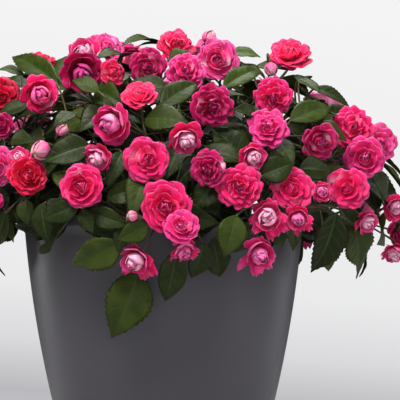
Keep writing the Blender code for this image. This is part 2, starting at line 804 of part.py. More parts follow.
def place_leaf(leaf, way, stems, crowd):
    """Bends a leaf along a way until blade and petiole are clear, and adds it to a stem."""
    for slide, (base_move, tip_move, roll) in itertools.product(LEAF_SLIDES, LEAF_MOVES):
        aside = leaf.side * slide[0] + leaf.chord * slide[1]
        base_shift = way * base_move + aside
        tried = leaf.moved(base_shift, base_shift + way * tip_move, roll)
        if not crowd.clear(leaf_shape(tried, CLEARANCE)):
            continue
        roots = []
        for stem in stems:
            for axis, path in stem["axes"]:
                root = closest_on(path, tried.base)
                roots.append(((root - tried.base).length, axis, root, stem))
        for reach, axis, root, stem in sorted(roots, key=lambda row: row[0])[:5]:
            ahead = (tried.base - root).normalized()
            sideways = abs(ahead.dot(tried.side)) > 0.75
            if reach > PETIOLE_REACH or sideways or ahead.dot(tried.chord) < -0.45:
                continue
            tried.root = root
            if crowd.clear(leaf_shape(tried, CLEARANCE), {axis}):
                stem["leaves"].append(tried)
                crowd.add(stem["name"] + " leaf", leaf_shape(tried, CLEARANCE))
                return True
    return False


def show_leaf(index, row):
    (base_x, base_z), (tip_x, tip_z), width = row
    draw = random.Random(f"show leaf {index}")
    base, tip = mound_front(base_x, base_z), mound_front(tip_x, tip_z)
    normal = (mound_normal(base) + Vector((0, -0.5, 0))).normalized()
    return Leaf(base - normal * 4.0, tip, normal, float(width), draw.uniform(0.35, 0.8))


def rule_leaf(index, polar, azimuth):
    draw = random.Random(f"rule leaf {index}")
    base = mound_point(polar, azimuth, draw.uniform(0.86, 0.95))
    normal = mound_normal(base)
    down = Vector((0, 0, -1)) + Vector((math.cos(azimuth), math.sin(azimuth), 0)) * 0.6
    down = (down - normal * down.dot(normal)).normalized()
    twist = Matrix.Rotation(draw.uniform(-1.1, 1.1), 3, normal)
    length = draw.uniform(*LEAF_LENGTHS)
    way = (twist @ down + normal * draw.uniform(0.05, 0.45)).normalized()
    width = length * draw.uniform(*LEAF_SLENDERNESS)
    return Leaf(base, base + way * length, normal, width, draw.uniform(0.3, 0.9))


def layout():
    """Everything that grows, placed: the stems with their leaves, and the sprays of blooms."""
    crowd = Crowd()
    crowd.add("planter", planter_shape())
    crowd.add("compost", compost_shape())
    paths = stem_paths()
    stems = []
    for k, path in enumerate(paths):
        name = f"leafy_stem_{k + 1:02d}"
        stems.append({"name": name, "axes": [(name, path)], "shoots": [], "leaves": []})
        crowd.add(name, stem_shape(path))
    sprays = group_sprays(place_blooms(crowd), paths)
    for spray in sprays:
        stem = stems[spray.stem]
        lay_spray(spray, stem, crowd)
        stem["axes"].append((stem["name"] + spray.name, spray.shoot))
        stem["shoots"].append(spray)
    for k, row in enumerate(SHOW_LEAVES):
        if not place_leaf(show_leaf(k, row), Vector((0, 1, 0)), stems, crowd):
            raise ValueError(f"show leaf {k} finds no clear place")
    places = spiral(SPIRAL_LEAVES, math.radians(6), math.radians(112))
    for k, (polar, azimuth) in enumerate(places):
        leaf = rule_leaf(k, polar, azimuth)
        if k % 2 == 0 or leaf.base.y > SHOW_LEAF_DEPTH:
            place_leaf(leaf, -leaf.normal, stems, crowd)
    return stems, sprays


# ---------------------------------------------------------------- objects


def finish(name, colour, roughness):
    """A plain Principled material of an object's own."""
    made = bpy.data.materials.new(name + "_surface")
    made.use_nodes = True
    shader = made.node_tree.nodes["Principled BSDF"]
    shader.inputs["Base Color"].default_value = (*colour, 1.0)
    shader.inputs["Roughness"].default_value = roughness
    shader.inputs["Metallic"].default_value = 0.0
    return made


def new_object(name, shape):
    mesh = bpy.data.meshes.new(name)
    mesh.from_pydata([point * MM for point in shape.points], [], shape.faces)
    mesh.update()
    return bpy.data.objects.new(name, mesh)


def fused(name, shapes, look, smooth_angle, operation="UNION"):
    """One object of the first shape, with the others joined to it or cut from it."""
    whole = new_object(name, shapes[0])
    bpy.context.scene.collection.objects.link(whole)
    if len(shapes) > 1:
        others = bpy.data.collections.new(name + " pieces")
        bpy.context.scene.collection.children.link(others)
        for shape in shapes[1:]:
            others.objects.link(new_object(name + " piece", shape))
        join = whole.modifiers.new("join", "BOOLEAN")
        join.operation = operation
        join.operand_type = "COLLECTION"
        join.collection = others
        join.solver = "MANIFOLD"
        graph = bpy.context.evaluated_depsgraph_get()
        mesh = bpy.data.meshes.new_from_object(whole.evaluated_get(graph))
        whole.modifiers.clear()
        whole.data = mesh
        for piece in list(others.objects):
            bpy.data.objects.remove(piece)
        bpy.data.collections.remove(others)
        drop_scraps(mesh)
    whole.data.materials.clear()
    whole.data.materials.append(finish(name, *look))
    whole.data.shade_smooth()
    whole.data.set_sharp_from_angle(angle=math.radians(smooth_angle))
    return whole


def drop_scraps(mesh):
    """Keeps the largest body of a fused mesh, and none of the specks a union can leave."""
    work = bmesh.new()
    work.from_mesh(mesh)
    unseen = set(work.verts)
    bodies = []
    while unseen:
        body, rim = set(), [unseen.pop()]
        while rim:
            vertex = rim.pop()
            body.add(vertex)
            near = {edge.other_vert(vertex) for edge in vertex.link_edges} & unseen
            unseen -= near
            rim += near
        bodies.append(body)
    for body in sorted(bodies, key=len)[:-1]:
        bmesh.ops.delete(work, geom=list(body), context="VERTS")
    work.to_mesh(mesh)
    work.free()


def stem_hole(path):
    """The cutter for a stem's plain hole in the compost."""
    foot = path[0] - Vector((0, 0, FIT_GAP))
    above = path[0] + Vector((0, 0, STEM_DEPTH + 14.0))
    return loft(sweep_rings([foot, above], [STEM_RADIUS + 1.5 * FIT_GAP] * 2, 4))


def main():
    for old in list(bpy.data.objects):
        bpy.data.objects.remove(old)
    stems, sprays = layout()
    fused("planter", [planter_shape()], PLANTER_LOOK, 40)
    holes = [stem_hole(stem["axes"][0][1]) for stem in stems]
    fused("compost", [compost_shape(), *holes], COMPOST_LOOK, 20, "DIFFERENCE")
    for stem in stems:
        shoots = [shoot_shape(spray) for spray in stem["shoots"]]
        leaves = [leaf_shape(leaf) for leaf in stem["leaves"]]
        fused(stem["name"], [stem_shape(stem["axes"][0][1]), *shoots, *leaves], LEAF_LOOK, 50)
    for spray in sprays:
        blooms = [bloom_shape(bloom) for bloom in spray.blooms]
        fused(spray.name, blooms, PETAL_LOOKS[spray.blooms[0].tone], 40)


main()
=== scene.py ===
"""A double busy lizzie in its planter, as an add-on: the planter, compost, leafy stems and blooms.

The layout functions place every stem, leaf and bloom by rule, in millimetres. The makers after
them grow each piece in full detail on those places, and the operators turn the pieces into
objects that stand for the solids of the same name. The show side faces -Y.
"""

import itertools
import math
import random
from dataclasses import dataclass, field, replace
from typing import NamedTuple

import bpy
import numpy as np
from mathutils import Matrix, Vector, noise
from mathutils.bvhtree import BVHTree


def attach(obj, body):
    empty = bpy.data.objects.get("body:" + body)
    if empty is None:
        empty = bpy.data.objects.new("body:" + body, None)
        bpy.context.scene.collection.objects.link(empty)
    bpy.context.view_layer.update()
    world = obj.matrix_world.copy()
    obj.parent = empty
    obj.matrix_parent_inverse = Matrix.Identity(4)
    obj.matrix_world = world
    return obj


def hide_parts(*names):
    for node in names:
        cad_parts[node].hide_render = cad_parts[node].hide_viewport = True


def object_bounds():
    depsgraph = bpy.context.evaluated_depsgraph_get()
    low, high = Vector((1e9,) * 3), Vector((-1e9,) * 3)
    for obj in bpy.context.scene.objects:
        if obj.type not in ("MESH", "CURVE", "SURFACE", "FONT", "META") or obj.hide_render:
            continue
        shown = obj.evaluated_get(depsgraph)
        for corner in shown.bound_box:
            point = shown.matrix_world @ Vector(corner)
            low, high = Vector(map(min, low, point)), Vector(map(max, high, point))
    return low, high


bl_info = {
    "name": "Busy lizzie in a planter",
    "version": (1, 0, 0),
    "blender": (4, 5, 0),
    "location": "3D View > Sidebar > Planter",
    "description": "Grows a double busy lizzie over a round tapered planter",
    "category": "Object",
}

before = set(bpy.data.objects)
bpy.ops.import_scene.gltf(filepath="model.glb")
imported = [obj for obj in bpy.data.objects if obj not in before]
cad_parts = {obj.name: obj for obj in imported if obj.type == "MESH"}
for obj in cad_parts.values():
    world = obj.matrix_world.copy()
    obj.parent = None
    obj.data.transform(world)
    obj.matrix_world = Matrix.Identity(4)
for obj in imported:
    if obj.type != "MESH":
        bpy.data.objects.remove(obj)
CAD_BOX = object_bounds()

MM = 0.001

# Planter, compost and mound
POT_HEIGHT = 260.0
POT_RIM_RADIUS = 139.0
POT_FOOT_RADIUS = 90.0
POT_STRAIGHTNESS = 0.38  # share of the taper that is even; the rest gathers towards the foot
POT_WALL = 5.0
POT_LIP = 9.0  # width of the rolled rim
POT_RIM_DEPTH = 14.0
POT_RIM_PROUD = 1.5  # how far the rolled rim stands out past the side's radius at the top
POT_EDGE = 3.0  # rounding of the foot's edge
POT_FOOT_RING = 12.0
POT_FOOT_RECESS = 3.0
POT_FOOT_PAD = 42.0  # radius of the pad in the middle of the underside
POT_FLOOR_TOP = 9.0
POT_SIDES = 32
POT_INNER_SIDES = 16
COMPOST_TOP = 246.0
COMPOST_LUMP = 3.0
FIT_GAP = 0.3
MOUND_RADIUS = 236.0
MOUND_RISE = 170.0
MOUND_DROP = 108.0
MOUND_CENTRE = 264.0  # height of the mound's widest level
MOUND_BACK_SLOPE = 0.10  # how much lower the crown is at the back
HANG_DEPTH = 0.62  # share of the mound's depth that hanging leaves keep in front, squared

# Stems
STEM_RADIUS = 3.4
SHOOT_RADIUS = 1.7
STALK_RADIUS = 1.2
NECK = 9.0  # straight length of a stalk under its bloom
STALK_ROOT = 0.5  # radius of its end inside the spray's first stalk
STEM_DEPTH = 24.0  # how deep a stem stands in the compost
STEM_REACH = 0.70  # how far a stem goes from the mound's centre to its skin
# Whorls of stems: how many, degrees from the top, degrees of the first from +X, reach of the holes
STEM_WHORLS = ((3, 26.0, 250.0, 34.0), (5, 60.0, 270.0, 66.0), (7, 93.0, 257.0, 99.0))
STEM_NECK = 4.0  # straight length of a stem over the compost
OUTER_STEMS_FROM = 80.0  # stems at more degrees from the top climb, and then hang over the rim
OUTER_RISE = 52.0
OUTER_OVER = 44.0  # how far over its end an outer stem's arch aims
INNER_RISE = 30.0
INNER_UNDER = 20.0  # how far under its end an inner stem's arch aims
ARCH_BACK = 30.0  # how far inside its end a stem's arch aims
STEM_TAPER = 0.09  # from each point of a stem's path to the next

# Leaves
LEAF_RIB_THICKNESS = 1.9
LEAF_FOLD = 0.30
PETIOLE_RADIUS = 1.2
PETIOLE_ROOT = 0.5  # radius of its end inside the stem
# Outline of half a blade: place along the rib, and share of the half width
LEAF_OUTLINE = ((0.11, 0.60), (0.36, 1.00), (0.43, 0.86), (0.72, 0.64))
LEAF_BROADEST = 0.40

# Bloom forms, in bloom radii: a rim's radius, height and notch's radius, a well's radius and height
BLOOM_FORMS = {
    "open": {
        "rims": ((1.00, 0.02, 0.78), (0.72, 0.30, 0.80), (0.42, 0.46, 1.00)),
        "wells": ((0.46, 0.05), (0.25, 0.18)),
        "heart": 0.34,
    },
    "cup": {
        "rims": ((1.00, 0.16, 0.72), (0.68, 0.56, 0.82), (0.40, 0.74, 1.00)),
        "wells": ((0.44, 0.06), (0.34, 0.44)),
        "heart": 0.86,
    },
}
BLOOM_BASE = -0.45  # height of the calyx under the bloom's middle
BUD_RINGS = ((0.62, 0.10), (0.95, 0.75), (0.70, 1.45))
BUD_TIP = 1.85

# Blooms of the show side, listed one by one: x, height z, diameter, the way each faces (right, up),
# form and tone
SHOW_BLOOMS = (
    (126, 421, 44, 0.05, 0.75, "open", "coral"),
    (12, 428, 40, 0.10, 0.60, "open", "rose"),
    (-56, 426, 36, 0.50, 0.55, "open", "pale"),
    (-78, 419, 36, -0.35, 0.35, "cup", "white"),
    (-126, 412, 36, -0.10, 0.80, "open", "coral"),
    (53, 413, 43, 0.20, 0.20, "open", "pale"),
    (22, 401, 42, 0.10, 0.20, "open", "rose"),
    (-15, 406, 38, 0.00, -0.10, "open", "deep"),
    (-80, 400, 42, 0.10, -0.15, "cup", "deep"),
    (-50, 400, 28, 0.50, 0.10, "open", "coral"),
    (-162, 377, 44, 0.10, 0.10, "open", "red"),
    (-121, 378, 40, 0.10, 0.00, "cup", "rose"),
    (-23, 378, 36, -0.10, 0.70, "open", "coral"),
    (48, 367, 44, 0.10, -0.10, "open", "deep"),
    (108, 375, 42, 0.10, 0.00, "open", "rose"),
    (-50, 350, 44, -0.45, -0.20, "cup", "white"),
    (-160, 348, 26, -0.20, -0.20, "open", "deep"),
    (187, 346, 44, 0.10, 0.20, "open", "hot"),
    (216, 332, 38, 0.50, 0.00, "open", "pale"),
    (199, 316, 42, 0.05, -0.05, "open", "rose"),
    (103, 346, 42, -0.10, 0.40, "open", "rose"),
    (154, 332, 38, 0.30, -0.30, "open", "deep"),
    (22, 335, 36, 0.30, -0.50, "cup", "pale"),
    (88, 317, 30, 0.30, -0.20, "cup", "pale"),
    (-16, 314, 46, 0.00, 0.00, "open", "hot"),
    (-63, 316, 32, -0.50, -0.40, "cup", "white"),
    (-141, 316, 24, 0.00, 0.50, "cup", "pale"),
    (-163, 308, 38, -0.10, -0.10, "open", "pale"),
    (-133, 299, 40, 0.20, 0.30, "open", "red"),
    (-79, 288, 46, -0.10, 0.10, "open", "hot"),
    (44, 305, 38, -0.20, -0.10, "open", "deep"),
    (75, 288, 46, 0.00, 0.00, "open", "hot"),
    (126, 286, 44, 0.00, 0.05, "open", "hot"),
    (156, 283, 22, 0.10, 0.00, "cup", "pale"),
    (181, 287, 42, 0.00, 0.05, "open", "hot"),
    (2, 268, 50, 0.00, 0.00, "open", "hot"),
    (103, 259, 38, -0.10, -0.05, "cup", "white"),
    (132, 257, 28, 0.00, -0.30, "cup", "pale"),
    (229, 267, 28, 0.50, -0.10, "cup", "pale"),
    (-170, 275, 28, -0.30, 0.00, "open", "deep"),
    (18, 249, 36, 0.12, 0.38, "open", "rose"),
    (200, 254, 26, 0.50, -0.50, "cup", "white"),
    (237, 243, 34, 0.50, -0.10, "open", "deep"),
    (21, 226, 28, 0.20, -0.70, "cup", "pale"),
    (93, 222, 38, 0.35, -0.45, "cup", "rose"),
    (-26, 217, 38, -0.40, -0.45, "cup", "white"),
    (229, 223, 26, 0.10, -0.80, "cup", "pale"),
    (105, 410, 15, 0.20, -0.90, "bud", "white"),
    (-101, 340, 15, 0.45, 0.60, "bud", "white"),
    (-114, 326, 22, -0.60, -0.30, "bud", "pale"),
    (-27, 259, 12, -0.60, 0.10, "bud", "pale"),
)
# The rest of the mound takes blooms by rule, on a golden spiral
RULE_FORMS = ("open", "cup")
RULE_WEIGHTS = (3, 1)
RULE_TONES = ("hot", "hot", "rose", "rose", "deep", "pale", "coral")
RULE_DIAMETERS = (36.0, 47.0)
RULE_WANDER = 0.35  # how far a bloom may look away from straight out
RULE_BUDS = 0.08  # share of buds
RULE_BUD_DIAMETER = 16.0
BLOOM_POLARS = (8, 112)  # degrees from the top
SPIRAL_BLOOMS = 112  # places on the spiral
SPIRAL_TURN = math.pi * (3 - math.sqrt(5))
BLOOM_SPACING = 57.0
SHOW_SIDE_LEFT = -178.0
SHOW_SIDE_DEPTH = -8.0  # nearer the front than this, only the listed blooms stand
EASE_MOVES = (0, 4, 8, -4, 12, -8, 16, 20, -12, 24, 28, -16, 32, 36, 40, -20, 44, -26, 50, 56)
CLEARANCE = 0.5  # kept between neighbours while they are placed
SPRAY_REACH = 74.0
SPRAY_BLOOMS = 3
# The end of a spray's shoot is tried at places on a widening spiral, at these depths in turn
SPRAY_TRIES = 900
SPRAY_STEP = 2.2
SPRAY_DEPTHS = (22.0, 27.0, 32.0, 37.0, 42.0, 47.0)
SPRAY_JOINT = 8.0  # from the shoot's end to where the stalks part
SPRAY_AHEAD = 0.15  # the least that a stalk may run on the shoot's way

# Leaves of the show side, listed one by one: x and z of the blade's base and of its tip, and width
SHOW_LEAVES = (
    (-106, 393, -152, 419, 26),
    (-99, 396, -93, 420, 24),
    (-140, 402, -166, 405, 16),
    (-126, 397, -94, 383, 17),
    (-64, 384, -90, 394, 18),
    (-70, 388, -42, 370, 26),
    (-132, 372, -166, 356, 18),
    (-150, 337, -126, 332, 18),
    (-88, 363, -107, 347, 17),
    (-70, 358, -98, 345, 28),
    (-72, 330, -117, 312, 32),
    (-40, 324, -54, 287, 21),
    (-4, 434, -42, 427, 18),
    (-42, 424, -66, 414, 18),
    (4, 388, -32, 392, 17),
    (-2, 370, 36, 391, 27),
    (-18, 356, 28, 349, 30),
    (6, 417, 31, 420, 20),
    (60, 388, 98, 403, 22),
    (68, 424, 97, 417, 18),
    (92, 362, 68, 364, 15),
    (84, 312, 46, 348, 36),
    (58, 300, 28, 262, 32),
    (72, 260, 60, 218, 30),
    (126, 355, 166, 367, 26),
    (122, 354, 152, 336, 22),
    (150, 352, 182, 333, 22),
    (112, 338, 128, 306, 22),
    (98, 300, 130, 312, 27),
    (142, 292, 188, 303, 27),
    (211, 309, 217, 275, 22),
    (196, 298, 234, 270, 30),
    (134, 398, 156, 380, 18),
    (150, 389, 186, 364, 17),
    (172, 262, 145, 203, 38),
    (190, 250, 193, 208, 36),
    (-42, 232, -90, 212, 36),
    (-24, 202, -51, 138, 48),
    (14, 224, 2, 174, 28),
    (-136, 275, -133, 250, 20),
    (-120, 272, -112, 232, 24),
    (-100, 276, -112, 256, 20),
    (-80, 266, -68, 242, 17),
    (-14, 250, -45, 236, 22),
    (110, 250, 117, 228, 17),
    (40, 232, 28, 197, 26),
    (50, 236, 56, 198, 26),
    (-156, 262, -166, 218, 32),
    (-172, 290, -160, 258, 26),
)
SPIRAL_LEAVES = 132
LEAF_POLARS = (6, 112)  # degrees from the top
LEAF_DEPTHS = (0.86, 0.95)  # where the leaves by rule start, 1 at the mound's skin
SHOW_LEAF_DEPTH = -70.0  # nearer the front than this, every other leaf by rule is left out
PETIOLE_REACH = 90.0
# How a leaf is bent clear, in turn: slid sideways and along; its base and its tip moved; rolled
LEAF_SLIDES = ((0, 0), (5, 0), (-5, 0), (0, 6), (0, -6), (9, 0), (-9, 0))
LEAF_MOVES = [
    (base, tip, roll)
    for roll in (0.0, 0.35, -0.35)
    for base in (0.0, 6.0, 12.0, -6.0, 18.0, 25.0, 32.0)
    for tip in (0.0, -8.0, 8.0, -16.0, 16.0)
]
LEAF_LENGTHS = (46.0, 66.0)
LEAF_SLENDERNESS = (0.48, 0.60)  # width as a share of the length


class Habit(NamedTuple):
    """How the leaves of a kind hang."""

    outward: float  # lean of their downward way away from the mound's axis
    twist: float  # how far they turn from that way, in radians
    lift: tuple  # how far their tips stand off the mound
    arch: tuple  # angle that a blade bends through, in radians


class RootRule(NamedTuple):
    """Which petioles look natural."""

    tries: int  # how many of the nearest stems and shoots are tried
    sideways: float  # the most that a petiole may join its blade from the side
    back: float  # the most that it may double back under it, below 0


SKIN_HABIT = Habit(outward=0.6, twist=1.1, lift=(0.05, 0.45), arch=(0.3, 0.9))
LEAF_ROOTS = RootRule(tries=5, sideways=0.75, back=-0.45)


# ---------- solids from rings


@dataclass
class Shape:
    """A closed body: points in millimetres, and triangles that face out."""

    points: list
    faces: list

    def tree(self):
        return BVHTree.FromPolygons(self.points, self.faces)


def zipped(lower, upper):
    """Triangles of the band between two rings of (turn, index), each in order of turn."""
    faces = []
    low = up = 0
    while low < len(lower) or up < len(upper):
        next_low = lower[(low + 1) % len(lower)][0] + (low + 1) // len(lower)
        next_up = upper[(up + 1) % len(upper)][0] + (up + 1) // len(upper)
        here, above = lower[low % len(lower)][1], upper[up % len(upper)][1]
        if low < len(lower) and (up >= len(upper) or next_low <= next_up):
            low += 1
            face = (here, lower[low % len(lower)][1], above)
        else:
            up += 1
            face = (here, upper[up % len(upper)][1], above)
        if len(set(face)) == 3:
            faces.append(face)
    return faces


def loft(rings):
    """The closed body through rings of (turn, point)."""
    points, bands = [], []
    for ring in rings:
        bands.append([(turn, len(points) + k) for k, (turn, _) in enumerate(ring)])
        points += [Vector(point) for _, point in ring]
    faces = []
    for lower, upper in zip(bands, bands[1:]):
        faces += zipped(lower, upper)
    first, last = [k for _, k in bands[0]], [k for _, k in bands[-1]]
    faces += [(first[0], b, a) for a, b in zip(first[1:], first[2:])]
    faces += [(last[0], a, b) for a, b in zip(last[1:], last[2:])]
    return Shape(points, faces)


def off_axis(angle, radius=1.0, height=0.0):
    """A point at an angle from +X, a radius away from the Z axis."""
    return radius * math.cos(angle), radius * math.sin(angle), height


def circle(radius, height, sides, phase=0.0):
    """A level ring of (turn, point) round the Z axis."""
    ring = []
    for k in range(sides):
        turn = (k + phase) / sides
        ring.append((turn, off_axis(2 * math.pi * turn, radius, height)))
    return ring


def across(direction):
    """Two unit vectors square to a direction, and to each other."""
    helper = Vector((0, 0, 1)) if abs(direction.z) < 0.9 else Vector((1, 0, 0))
    first = direction.cross(helper).normalized()
    return first, direction.cross(first).normalized()


def sweep_rings(path, radii, sides):
    """Rings of a round stem along a path, each square to it."""
    rings, first = [], None
    for k, point in enumerate(path):
        ahead = path[min(k + 1, len(path) - 1)] - path[max(k - 1, 0)]
        ahead.normalize()
        if first is None:
            first = across(ahead)[0]
        first = (first - ahead * first.dot(ahead)).normalized()
        second = ahead.cross(first)
        ring = []
        for side in range(sides):
            angle = 2 * math.pi * side / sides
            out = first * math.cos(angle) + second * math.sin(angle)
            ring.append((side / sides, point + out * radii[k]))
        rings.append(ring)
    return rings


def bezier(a, b, c, d, steps):
    """Points of a cubic curve from a to d, steered by b and c."""
    path = []
    for k in range(steps + 1):
        t = k / steps
        s = 1 - t
        path.append(a * s**3 + b * 3 * s * s * t + c * 3 * s * t * t + d * t**3)
    return path


# ---------- planter and compost


def pot_radius(height):
    """Outer radius of the planter's side at a height."""
    down = 1 - height / POT_HEIGHT
    taper = POT_STRAIGHTNESS * down + (1 - POT_STRAIGHTNESS) * down * down
    return POT_RIM_RADIUS - (POT_RIM_RADIUS - POT_FOOT_RADIUS) * taper


def planter_shape():
    """The planter: underside with its pad and ring, side, rolled rim, inside and floor."""
    ring_inner = POT_FOOT_RADIUS - POT_EDGE - POT_FOOT_RING
    side_levels = (POT_EDGE, 60.0, 120.0, 185.0, POT_HEIGHT - POT_RIM_DEPTH)
    inner_levels = (POT_HEIGHT - POT_RIM_DEPTH, 120.0, POT_FLOOR_TOP)
    under = [
        circle(POT_FOOT_PAD, 0.0, POT_INNER_SIDES),
        circle(POT_FOOT_PAD, POT_FOOT_RECESS, POT_INNER_SIDES),
        circle(ring_inner, POT_FOOT_RECESS, POT_INNER_SIDES),
    ]
    profile = [(ring_inner, 0.0), (POT_FOOT_RADIUS - POT_EDGE, 0.0)]
    profile += [(pot_radius(level), level) for level in side_levels]
    profile += [
        (POT_RIM_RADIUS + POT_RIM_PROUD, POT_HEIGHT - 10.0),
        (POT_RIM_RADIUS + POT_RIM_PROUD, POT_HEIGHT - 2.5),
        (POT_RIM_RADIUS - POT_RIM_PROUD, POT_HEIGHT),
        (POT_RIM_RADIUS - POT_LIP + 2.0, POT_HEIGHT),
        (POT_RIM_RADIUS - POT_LIP, POT_HEIGHT - 2.5),
    ]
    rings = [circle(radius, height, POT_SIDES) for radius, height in profile]
    inner = [circle(pot_radius(level) - POT_WALL, level, POT_INNER_SIDES) for level in inner_levels]
    return loft([circle(0.0, 0.0, 1), *under, *rings, *inner, circle(0.0, POT_FLOOR_TOP, 1)])


def compost_shape():
    """The compost that fills the planter, lumpy on top."""
    lumps = random.Random("compost")
    floor = POT_FLOOR_TOP + FIT_GAP
    rings = [circle(0.0, floor, 1)]
    for level in (floor, 120.0, COMPOST_TOP):
        fit = pot_radius(level) - POT_WALL - 2 * FIT_GAP
        rings.append(circle(fit, level, POT_INNER_SIDES))
    for share in (0.72, 0.36):
        height = COMPOST_TOP + COMPOST_LUMP
        ring = circle(POT_RIM_RADIUS * share, height, POT_INNER_SIDES // 2)
        rings.append([(turn, (x, y, z + lumps.uniform(-3, 2))) for turn, (x, y, z) in ring])
    rings.append(circle(0.0, COMPOST_TOP + 2 * COMPOST_LUMP, 1))
    return loft(rings)


# ---------- the mound


def mound_point(polar, azimuth, depth=1.0):
    """The mound's point at an angle from the top and an angle from +X, depth 1 at its skin."""
    rise = MOUND_RISE if polar < math.pi / 2 else MOUND_DROP
    x, y, _ = off_axis(azimuth, MOUND_RADIUS * math.sin(polar))
    lower = 1 - MOUND_BACK_SLOPE * max(y, 0.0) / MOUND_RADIUS
    z = rise * math.cos(polar) * lower
    return Vector((x * depth, y * depth, MOUND_CENTRE + z * depth))


def mound_rise(height):
    """How high or deep the mound reaches on the side of its widest level where a height lies."""
    return MOUND_RISE if height > 0 else MOUND_DROP


def mound_front(x, z):
    """The skin's point that shows from the front at x and z; past the skin, where leaves hang."""
    height = z - MOUND_CENTRE
    free = 1 - (x / MOUND_RADIUS) ** 2 - (height / mound_rise(height)) ** 2
    if height < 0:
        free = max(free, HANG_DEPTH * (1 - (x / MOUND_RADIUS) ** 2))
    return Vector((x, -MOUND_RADIUS * math.sqrt(max(free, 0.0)), z))


def mound_normal(point):
    """The way out of the mound at a point of its skin."""
    height = point.z - MOUND_CENTRE
    wide, high = MOUND_RADIUS**2, mound_rise(height) ** 2
    return Vector((point.x / wide, point.y / wide, height / high)).normalized()


def spiral(count, first_polar, last_polar):
    """Evenly spread (polar, azimuth) from one angle from the top down to another."""
    top, low = math.cos(math.radians(first_polar)), math.cos(math.radians(last_polar))
    for k in range(count):
        yield math.acos(top + (low - top) * (k + 0.5) / count), k * SPIRAL_TURN


# ---------- plant pieces


@dataclass
class Bloom:
    centre: Vector
    facing: Vector
    diameter: float
    form: str
    tone: str
    seed: str
    stalk: list = field(default_factory=list)
    stalk_radii: list = field(default_factory=list)

    @property
    def foot(self):
        """Where the stalk meets the calyx."""
        drop = 0.0 if self.form == "bud" else -BLOOM_BASE
        return self.centre - self.facing * (drop * self.diameter / 2)


@dataclass
class Leaf:
    base: Vector
    tip: Vector
    normal: Vector
    width: float
    arch: float
    root: Vector = None

    @property
    def chord(self):
        return (self.tip - self.base).normalized()

    @property
    def side(self):
        return self.chord.cross(self.normal).normalized()

    def moved(self, base_shift, tip_shift, roll):
        """A copy with its ends shifted and its blade rolled about its chord."""
        base, tip = self.base + base_shift, self.tip + tip_shift
        chord = (tip - base).normalized()
        flat = self.normal - chord * self.normal.dot(chord)
        normal = Matrix.Rotation(roll, 3, chord) @ flat.normalized()
        return Leaf(base, tip, normal, self.width, self.arch)


@dataclass
class Spray:
    name: str
    blooms: list
    stem: int
    anchor: Vector = None
    shoot: list = field(default_factory=list)


def petal_rim(radius, height, notch, points_per_petal, phase, jitter):
    """A whorl's edge: five petals, each with shoulders or one crest, and a notch between two."""
    crests = {3: (-0.27, 0.27), 2: (0.0,), 1: (0.0,)}[points_per_petal]
    ring = []
    for petal in range(5):
        reach = jitter.uniform(0.94, 1.05)
        for place in crests:
            lift = 0.07 * place + jitter.uniform(-0.03, 0.03)
            ring.append((petal + phase + place, radius * reach, height + lift))
        if points_per_petal > 1:
            ring.append((petal + phase + 0.5, radius * notch, height - 0.04))
    return sorted((place / 5 % 1.0, reach, lift) for place, reach, lift in ring)


def bloom_rings(bloom):
    """The bloom's rings from calyx to heart, as (turn, point) in its own axes."""
    jitter = random.Random(bloom.seed)
    size = bloom.diameter / 2
    calyx = 0.09 * size + 1.0
    if bloom.form == "bud":
        rings = [circle(STALK_RADIUS, 0.0, 3)]
        rings += [circle(size * radius, size * height, 5) for radius, height in BUD_RINGS]
        return [*rings, circle(0.0, size * BUD_TIP, 1)]
    form = BLOOM_FORMS[bloom.form]
    rings = [circle(calyx, BLOOM_BASE * size, 3)]
    for whorl, (radius, height, notch) in enumerate(form["rims"]):
        edge = petal_rim(radius, height, notch, 3 - whorl, 0.5 * whorl, jitter)
        ring = []
        for turn, reach, lift in edge:
            ring.append((turn, Vector(off_axis(2 * math.pi * turn, reach, lift)) * size))
        rings.append(ring)
        if whorl < len(form["wells"]):
            radius, height = form["wells"][whorl]
            rings.append(circle(radius * size, height * size, 5, phase=0.5 * whorl))
    return [*rings, circle(0.0, form["heart"] * size, 1)]


def bloom_matrix(bloom):
    """The turn and place of a bloom: its +Z is the way it faces."""
    spin = random.Random(bloom.seed + "spin").uniform(0, 2 * math.pi)
    turn = bloom.facing.to_track_quat("Z", "Y").to_matrix().to_4x4()
    return Matrix.Translation(bloom.centre) @ turn @ Matrix.Rotation(spin, 4, "Z")


def bloom_shape(bloom):
    """The bloom, with its stalk once that is known."""
    matrix = bloom_matrix(bloom)
    rings = [[(turn, matrix @ Vector(p)) for turn, p in ring] for ring in bloom_rings(bloom)]
    if not bloom.stalk:
        return loft(rings)
    stalk = sweep_rings([*bloom.stalk, bloom.foot], [*bloom.stalk_radii, STALK_RADIUS], 3)[:-1]
    # each stalk ring starts at the corner that is nearest the calyx's first
    for ring in stalk:
        start = min(range(3), key=lambda k: (ring[k][1] - rings[0][0][1]).length)
        ring[:] = [(k / 3, ring[(start + k) % 3][1]) for k in range(3)]
    return loft(stalk + rings)


def leaf_point(leaf, along, over, lift=0.0):
    """A point of the arched and folded blade: along the rib 0 to 1, over to its side in mm."""
    half = leaf.arch / 2
    length = (leaf.tip - leaf.base).length
    angle = half - leaf.arch * along
    scale = length / (2 * math.sin(half))
    forward = (math.sin(half) - math.sin(angle)) * scale
    rise = (math.cos(angle) - math.cos(half)) * scale
    side = leaf.side
    up = side.cross(leaf.chord)
    out = up * math.cos(angle) - leaf.chord * math.sin(angle)
    middle = leaf.base + leaf.chord * forward + up * rise
    return middle + side * over + out * (lift + LEAF_FOLD * abs(over))


